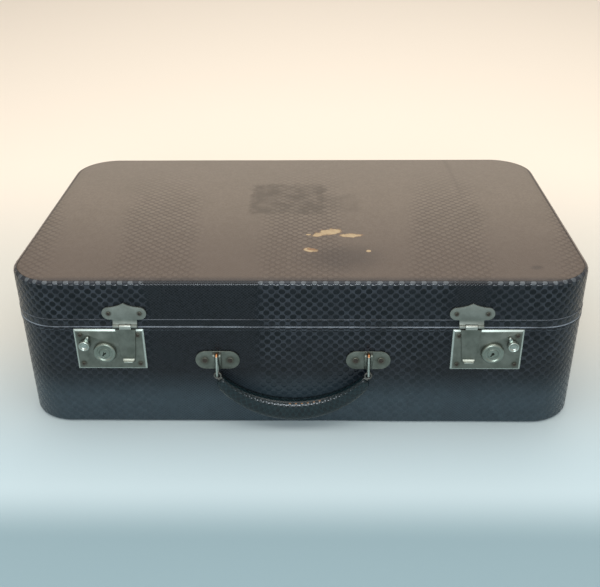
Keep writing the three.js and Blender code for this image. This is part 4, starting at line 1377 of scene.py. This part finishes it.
# %% [markdown]
# ## Grip
# The grip is leather sewn round a padded core. Its middle line is an arc from eye to eye. Its width
# swells towards the middle by a power of a cosine, and a thin sewn edge runs along its lower side.

# %% Grip body
MID_Z = 18.3 * MM
SAG = FOOT[1] - MID_Z
GRIP_R = (FITTING_U**2 + SAG**2) / (2 * SAG)
GRIP_CENTRE = MID_Z + GRIP_R
GRIP_HALF_SPAN = 58 * MM
GRIP_REACH = math.asin(GRIP_HALF_SPAN / GRIP_R)
EYE_REACH = math.asin(FITTING_U / GRIP_R)


def swell(angle):
    return max(0.0, math.cos(angle / GRIP_REACH * math.pi / 2))


def width_below(angle):
    return (6.2 + 3.1 * swell(angle)) * MM


def width_above(angle):
    return (2.8 + 6.5 * swell(angle)) * MM


def grip_half_depth(angle):
    return (3.2 + 2.4 * swell(angle)) * MM


def grip_spot(angle, outwards, h):
    r = GRIP_R + outwards
    return (GRIP_X + r * math.sin(angle), FRONT - FOOT[0] - h, GRIP_CENTRE - r * math.cos(angle))


def rounding(angle, length):
    """How much of the width is left near the end, where the corner is rounded over length."""
    left = min(1.0, (GRIP_REACH - abs(angle)) * GRIP_R / length)
    return math.sqrt(max(0.0, 1 - (1 - left) ** 2))


def grip_section(angle, a):
    """A place round the grip's section: a is 0 at its lower side and half a turn at its upper."""
    c, s = math.cos(a), math.sin(a)
    power = 0.8
    if c > 0:
        w = width_below(angle) * (0.35 + 0.65 * rounding(angle, 5.5 * MM))
    else:
        w = width_above(angle) * (0.6 + 0.4 * rounding(angle, 2.5 * MM))
    d = grip_half_depth(angle) * (0.5 + 0.5 * rounding(angle, 3 * MM))
    return w * math.copysign(abs(c) ** power, c), d * math.copysign(abs(s) ** power, s)


def grip_angles(steps):
    """Angles from end to end, closer together near the ends."""
    return [GRIP_REACH * math.sin(math.pi / 2 * (2 * i / steps - 1)) for i in range(steps + 1)]


def grip_body():
    sides = 40
    angles = grip_angles(110)
    rings = []
    for angle in angles:
        rings.append([grip_spot(angle, *grip_section(angle, a)) for a in turns(sides)])

    def sheet(row, column):
        round_it = 2 * math.pi * column / sides
        return (angles[row] * GRIP_R, round_it * 6.5 * MM)

    return loft("grip", rings, sheet=sheet)


def sewn_edge():
    """The raw edge of the two leather layers, along the grip's lower side."""
    steps = 80
    rings = []
    for i in range(steps + 1):
        angle = GRIP_REACH * 0.9 * (2 * i / steps - 1)
        inner = width_below(angle) - 0.9 * MM
        outer = width_below(angle) + 0.7 * MM
        half = 0.7 * MM
        section = [(inner, -half), (outer - 0.3 * MM, -half), (outer, -half * 0.4), (outer, half * 0.4)]
        section += [(outer - 0.3 * MM, half), (inner, half)]
        rings.append([grip_spot(angle, out, h) for out, h in section])

    def sheet(row, column):
        return (row * 1.5 * MM, column * 0.6 * MM)

    return loft("sewn_edge", rings, sheet=sheet)


def core_strip():
    """A flat steel strip with an eye at each end."""
    steps = 60
    rings = []
    half, thick = 2.0 * MM, 0.8 * MM
    reach = EYE_REACH - 2.6 * MM / GRIP_R
    for i in range(steps + 1):
        angle = reach * (2 * i / steps - 1)
        section = [(-half, -thick), (half, -thick), (half, thick), (-half, thick)]
        rings.append([grip_spot(angle, out, h) for out, h in section])
    strip = eased(loft("core", rings), 0.2 * MM, 2)
    eyes = []
    for _, sign in SIDES:
        centre = Vector((GRIP_X + sign * FITTING_U, FRONT - FOOT[0], FOOT[1]))
        points = [centre + 2.6 * MM * Vector((math.cos(a), 0, math.sin(a))) for a in turns(32)]
        eyes.append(wire("eye", points, 0.8 * MM))
    return combined(strip, "UNION", *eyes)


add_piece("grip", grip_body(), grip_skin, "handle", "grip_leather", "handle_cover", sharp=60)
add_piece("grip_sewn_edge", sewn_edge(), grip_edge, "handle", "grip_leather", sharp=60)
add_piece("grip_core", core_strip(), steel, "handle", "steel", "handle_core", sharp=40)

# %% [markdown]
# ## Geometry Nodes
# What repeats is made by a node tree: a named input for each size, copies set on points or along a
# curve, made real, and given their material. `Grower` keeps the trees short to write.

# %% Node tree helper
class Grower:
    """A geometry node tree under construction, with named inputs."""

    def __init__(self, name):
        self.tree = bpy.data.node_groups.new(name, "GeometryNodeTree")
        self.tree.interface.new_socket("Geometry", in_out="INPUT", socket_type="NodeSocketGeometry")
        self.tree.interface.new_socket("Geometry", in_out="OUTPUT", socket_type="NodeSocketGeometry")
        self.group_in = self.tree.nodes.new("NodeGroupInput")
        self.group_out = self.tree.nodes.new("NodeGroupOutput")

    def size(self, name, value, kind="NodeSocketFloat"):
        """A named input; returns its socket inside the tree."""
        made = self.tree.interface.new_socket(name, in_out="INPUT", socket_type=kind)
        if value is not None:
            made.default_value = value
        return self.group_in.outputs[name]

    def node(self, kind, settings=None, inputs=None):
        made = self.tree.nodes.new(kind)
        for key, value in (settings or {}).items():
            setattr(made, key, value)
        for key, value in (inputs or {}).items():
            if isinstance(value, bpy.types.NodeSocket):
                self.tree.links.new(value, made.inputs[key])
            else:
                made.inputs[key].default_value = value
        return made.outputs

    def finish(self, geometry, material):
        real = self.node("GeometryNodeRealizeInstances", None, {0: geometry})[0]
        painted = self.node("GeometryNodeSetMaterial", None, {"Geometry": real, "Material": material})[0]
        self.tree.links.new(painted, self.group_out.inputs[0])


def grown(mesh, grower, **values):
    """Runs a tree over a mesh and returns the plain mesh that comes out."""
    carrier = placed("carrier", mesh)
    modifier = carrier.modifiers.new("grow", "NODES")
    modifier.node_group = grower.tree
    for item in grower.tree.interface.items_tree:
        if item.in_out == "INPUT" and item.name in values:
            modifier[item.identifier] = values[item.name]
    return settled(carrier)


def points_mesh(name, points, edges=()):
    mesh = bpy.data.meshes.new(name)
    mesh.from_pydata(points, edges, [])
    return mesh


# %% [markdown]
# ## Rivets
# Every plate is held by tubular rivets, whose heads are rings round a pit. One head is turned, and
# the tree sets a copy on each point, with its own turn and a slight tilt.

# %% Rivet heads
def rivet_head(head, pit, depth):
    """A low ring round a pit, centred on the origin, facing -Y."""
    def at(u, h, z):
        return (u, -h, z)

    profile = [(head * 0.98, -0.2 * MM), (head, 0.1 * MM), (head * 0.93, 0.3 * MM), (head * 0.8, 0.38 * MM)]
    profile += [(pit * 1.12, 0.34 * MM), (pit, 0.2 * MM), (pit * 0.9, -depth * 0.6), (pit * 0.5, -depth)]

    def sheet(row, _):
        return (profile[row][0] / head, 0.0)

    mesh = loft("rivet_head", turned(profile, (0, 0), at, 20), sheet=sheet)
    mesh.shade_smooth()
    return placed("rivet_head", mesh)


def rivet_tree():
    grow = Grower("rivets")
    head = grow.size("Head", None, "NodeSocketObject")
    seed = grow.size("Seed", 3, "NodeSocketInt")
    tilt = grow.size("Tilt", math.radians(4))
    info = grow.node("GeometryNodeObjectInfo", None, {"Object": head})
    low = grow.node("ShaderNodeMath", {"operation": "MULTIPLY"}, {0: tilt, 1: -1.0})[0]
    least = grow.node("ShaderNodeCombineXYZ", None, {"X": low, "Y": 0.0, "Z": low})[0]
    most = grow.node("ShaderNodeCombineXYZ", None, {"X": tilt, "Y": 2 * math.pi, "Z": tilt})[0]
    turn = grow.node("FunctionNodeRandomValue", {"data_type": "FLOAT_VECTOR"},
                     {0: least, 1: most, "Seed": seed})[0]
    heads = grow.node("GeometryNodeInstanceOnPoints", None, {
        "Points": grow.group_in.outputs[0], "Instance": info["Geometry"], "Rotation": turn,
    })[0]
    grow.finish(heads, rust)
    return grow


def rivets(name, nodes, body, head, seed):
    """One piece that stands for a set of rivets on one body."""
    spots = []
    for node in nodes:
        x, _, z = middle_of(node)
        spots.append((x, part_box(node)[0].y + 0.6 * MM, z))
    made = grown(points_mesh(name, spots), RIVETS, Head=head, Seed=seed)
    add_piece(name, made, rust, body, "rusty_steel", *nodes, sharp=50)


RIVETS = rivet_tree()
small_head = rivet_head(1.7 * MM, 1.05 * MM, 0.7 * MM)
big_head = rivet_head(2.7 * MM, 1.6 * MM, 1.0 * MM)
RIVET_SETS = (
    ("lock_rivets", "lock_rivet", "base", small_head, 3),
    ("hasp_rivets", "hasp_rivet", "lid", small_head, 5),
    ("grip_rivets", "handle_rivet", "base", big_head, 7),
)
for name, prefix, body, head, seed in RIVET_SETS:
    rivets(name, sorted(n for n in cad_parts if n.startswith(prefix)), body, head, seed)

# %% [markdown]
# ## Stitches
# The grip was sewn along its upper side with waxed thread, and only a few stitches near its middle
# are left. The tree spreads short stitches along the seam's curve, each turned to follow it.

# %% Grip stitches
def stitch_tree():
    grow = Grower("stitches")
    pitch = grow.size("Pitch", 4.4 * MM)
    length = grow.size("Length", 1.9 * MM)
    thick = grow.size("Thickness", 0.32 * MM)
    curve = grow.node("GeometryNodeMeshToCurve", None, {"Mesh": grow.group_in.outputs[0]})[0]
    spread = grow.node("GeometryNodeCurveToPoints", {"mode": "LENGTH"}, {"Curve": curve, "Length": pitch})
    stitch = grow.node("GeometryNodeMeshUVSphere", None, {"Segments": 8, "Rings": 6, "Radius": 1.0})
    half = grow.node("ShaderNodeMath", {"operation": "MULTIPLY"}, {0: length, 1: 0.5})[0]
    scale = grow.node("ShaderNodeCombineXYZ", None, {"X": thick, "Y": thick, "Z": half})[0]
    copies = grow.node("GeometryNodeInstanceOnPoints", None, {
        "Points": spread["Points"], "Instance": stitch["Mesh"], "Rotation": spread["Rotation"],
        "Scale": scale,
    })[0]
    grow.finish(copies, thread)
    return grow


def seam_mesh():
    """The part of the seam that still has its thread, just inside the grip's upper side."""
    steps = 30
    first, last = math.asin(-3 * MM / GRIP_R), math.asin(24 * MM / GRIP_R)
    points = []
    for i in range(steps + 1):
        angle = first + (last - first) * i / steps
        out, h = grip_section(angle, math.radians(145))
        points.append(grip_spot(angle, out, h))
    return points_mesh("seam", points, [(i, i + 1) for i in range(steps)])


STITCHES = stitch_tree()
stitches = grown(seam_mesh(), STITCHES)
add_piece("grip_stitches", stitches, thread, "handle", "grip_leather", sharp=60)

# %% [markdown]
# ## Springs
# Behind each plate a coil pushes the bolt home. A spiral is a curve that follows a rule, so the
# tree draws it and gives it a round wire.

# %% Bolt springs
def spring_tree():
    grow = Grower("spring")
    radius = grow.size("Radius", 1.3 * MM)
    length = grow.size("Length", 12 * MM)
    turns = grow.size("Turns", 7.0)
    gauge = grow.size("Wire", 0.25 * MM)
    coil = grow.node("GeometryNodeCurveSpiral", None, {
        "Resolution": 20, "Rotations": turns, "Start Radius": radius, "End Radius": radius, "Height": length,
    })[0]
    section = grow.node("GeometryNodeCurvePrimitiveCircle", None, {"Resolution": 8, "Radius": gauge})[0]
    tube = grow.node("GeometryNodeCurveToMesh", None, {
        "Curve": coil, "Profile Curve": section, "Fill Caps": True,
    })[0]
    grow.finish(tube, steel)
    return grow


SPRING = spring_tree()
SPRING_CLEAR = 0.3 * MM
for side, sign in SIDES:
    low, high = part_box(f"lock_spring_{side}")
    long = high.x - low.x - 2 * SPRING_CLEAR
    made = grown(points_mesh("spring", [(0, 0, 0)]), SPRING, Length=long)
    _, y, z = middle_of(f"lock_spring_{side}")
    middle = Vector((low.x + SPRING_CLEAR, y, z))
    made.transform(Matrix.Translation(middle) @ Matrix.Rotation(math.pi / 2, 4, "Y"))
    spring = add_piece(f"bolt_spring_{side}", made, steel, "base", "steel", f"lock_spring_{side}", sharp=60)
    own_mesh(spring)

# %% [markdown]
# ## Back hinges
# Two small butt hinges join the halves at the back. Each leaf is a sheet rolled into knuckles, with
# three rivets.

# %% Hinges
HINGE_AXIS = middle_of("hinge_pin_right")[1] - HALF_D
HINGE_MID = 5.7 * MM
HINGE_HALF = 15 * MM


def back_place(middle):
    return lambda u, h, z: (middle + u, HALF_D + h, z)


def hinge_leaf(side, part, up):
    low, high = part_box(f"hinge_{part}_leaf_{side}")
    place = back_place(middle_of(f"hinge_{part}_leaf_{side}")[0])
    near = PARTING + up * 1.9 * MM
    far = high.z if up > 0 else low.z
    z0, z1 = min(near, far), max(near, far)
    h0, h1 = 0.25 * MM, 1.3 * MM
    sheet = stamped("leaf", rounded_box(-HINGE_HALF, HINGE_HALF, z0, z1, 1.2 * MM, 4), place, h0, h1)
    spans = [(-HINGE_MID, HINGE_MID)] if up < 0 else [
        (-HINGE_HALF, -HINGE_MID - 0.3 * MM), (HINGE_MID + 0.3 * MM, HINGE_HALF)
    ]
    parts = []
    for u0, u1 in spans:
        parts.append(rod("knuckle", u0, u1, (HINGE_AXIS, PARTING), BARREL_R, place))
        web0, web1 = sorted((PARTING, near + up * 1.5 * MM))
        parts.append(stamped("web", box_outline(u0, u1, web0, web1), place, h0, h1))
    joined = combined(sheet, "UNION", *parts)
    bore = rod("bore", -0.02, 0.02, (HINGE_AXIS, PARTING), BORE_R, place)
    return eased(combined(joined, "DIFFERENCE", bore), 0.2 * MM, 3), place


hinge_heads = {"base": [], "lid": []}
for side, _ in SIDES:
    for part, up in (("base", -1), ("lid", 1)):
        mesh, place = hinge_leaf(side, part, up)
        add_piece(f"hinge_{part}_plate_{side}", mesh, fitting_nickel, part, "nickel_plate",
                  f"hinge_{part}_leaf_{side}", sharp=30)
        for u, drop in ((-10, 6), (10, 6), (0, 13)):
            hinge_heads[part].append(place(u * MM, 1.35 * MM, PARTING + up * drop * MM))
    low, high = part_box(f"hinge_pin_{side}")
    place = back_place((low.x + high.x) / 2)
    reach = (high.x - low.x) / 2
    pin = eased(rod("pin", -reach, reach, (HINGE_AXIS, PARTING), PIN_R, place), 0.15 * MM, 2)
    add_piece(f"hinge_pivot_{side}", pin, steel, "lid", "steel", f"hinge_pin_{side}", sharp=30)

for part, spots in hinge_heads.items():
    mirrored = [(x, -y, z) for x, y, z in spots]
    made = grown(points_mesh("hinge_rivets", mirrored), RIVETS, Head=small_head, Seed=11)
    made.transform(Matrix.Scale(-1, 4, (0, 1, 0)))
    made.flip_normals()
    add_piece(f"hinge_rivets_{part}", made, rust, part, "rusty_steel", sharp=50)

for tool in (small_head, big_head):
    bpy.data.objects.remove(tool)
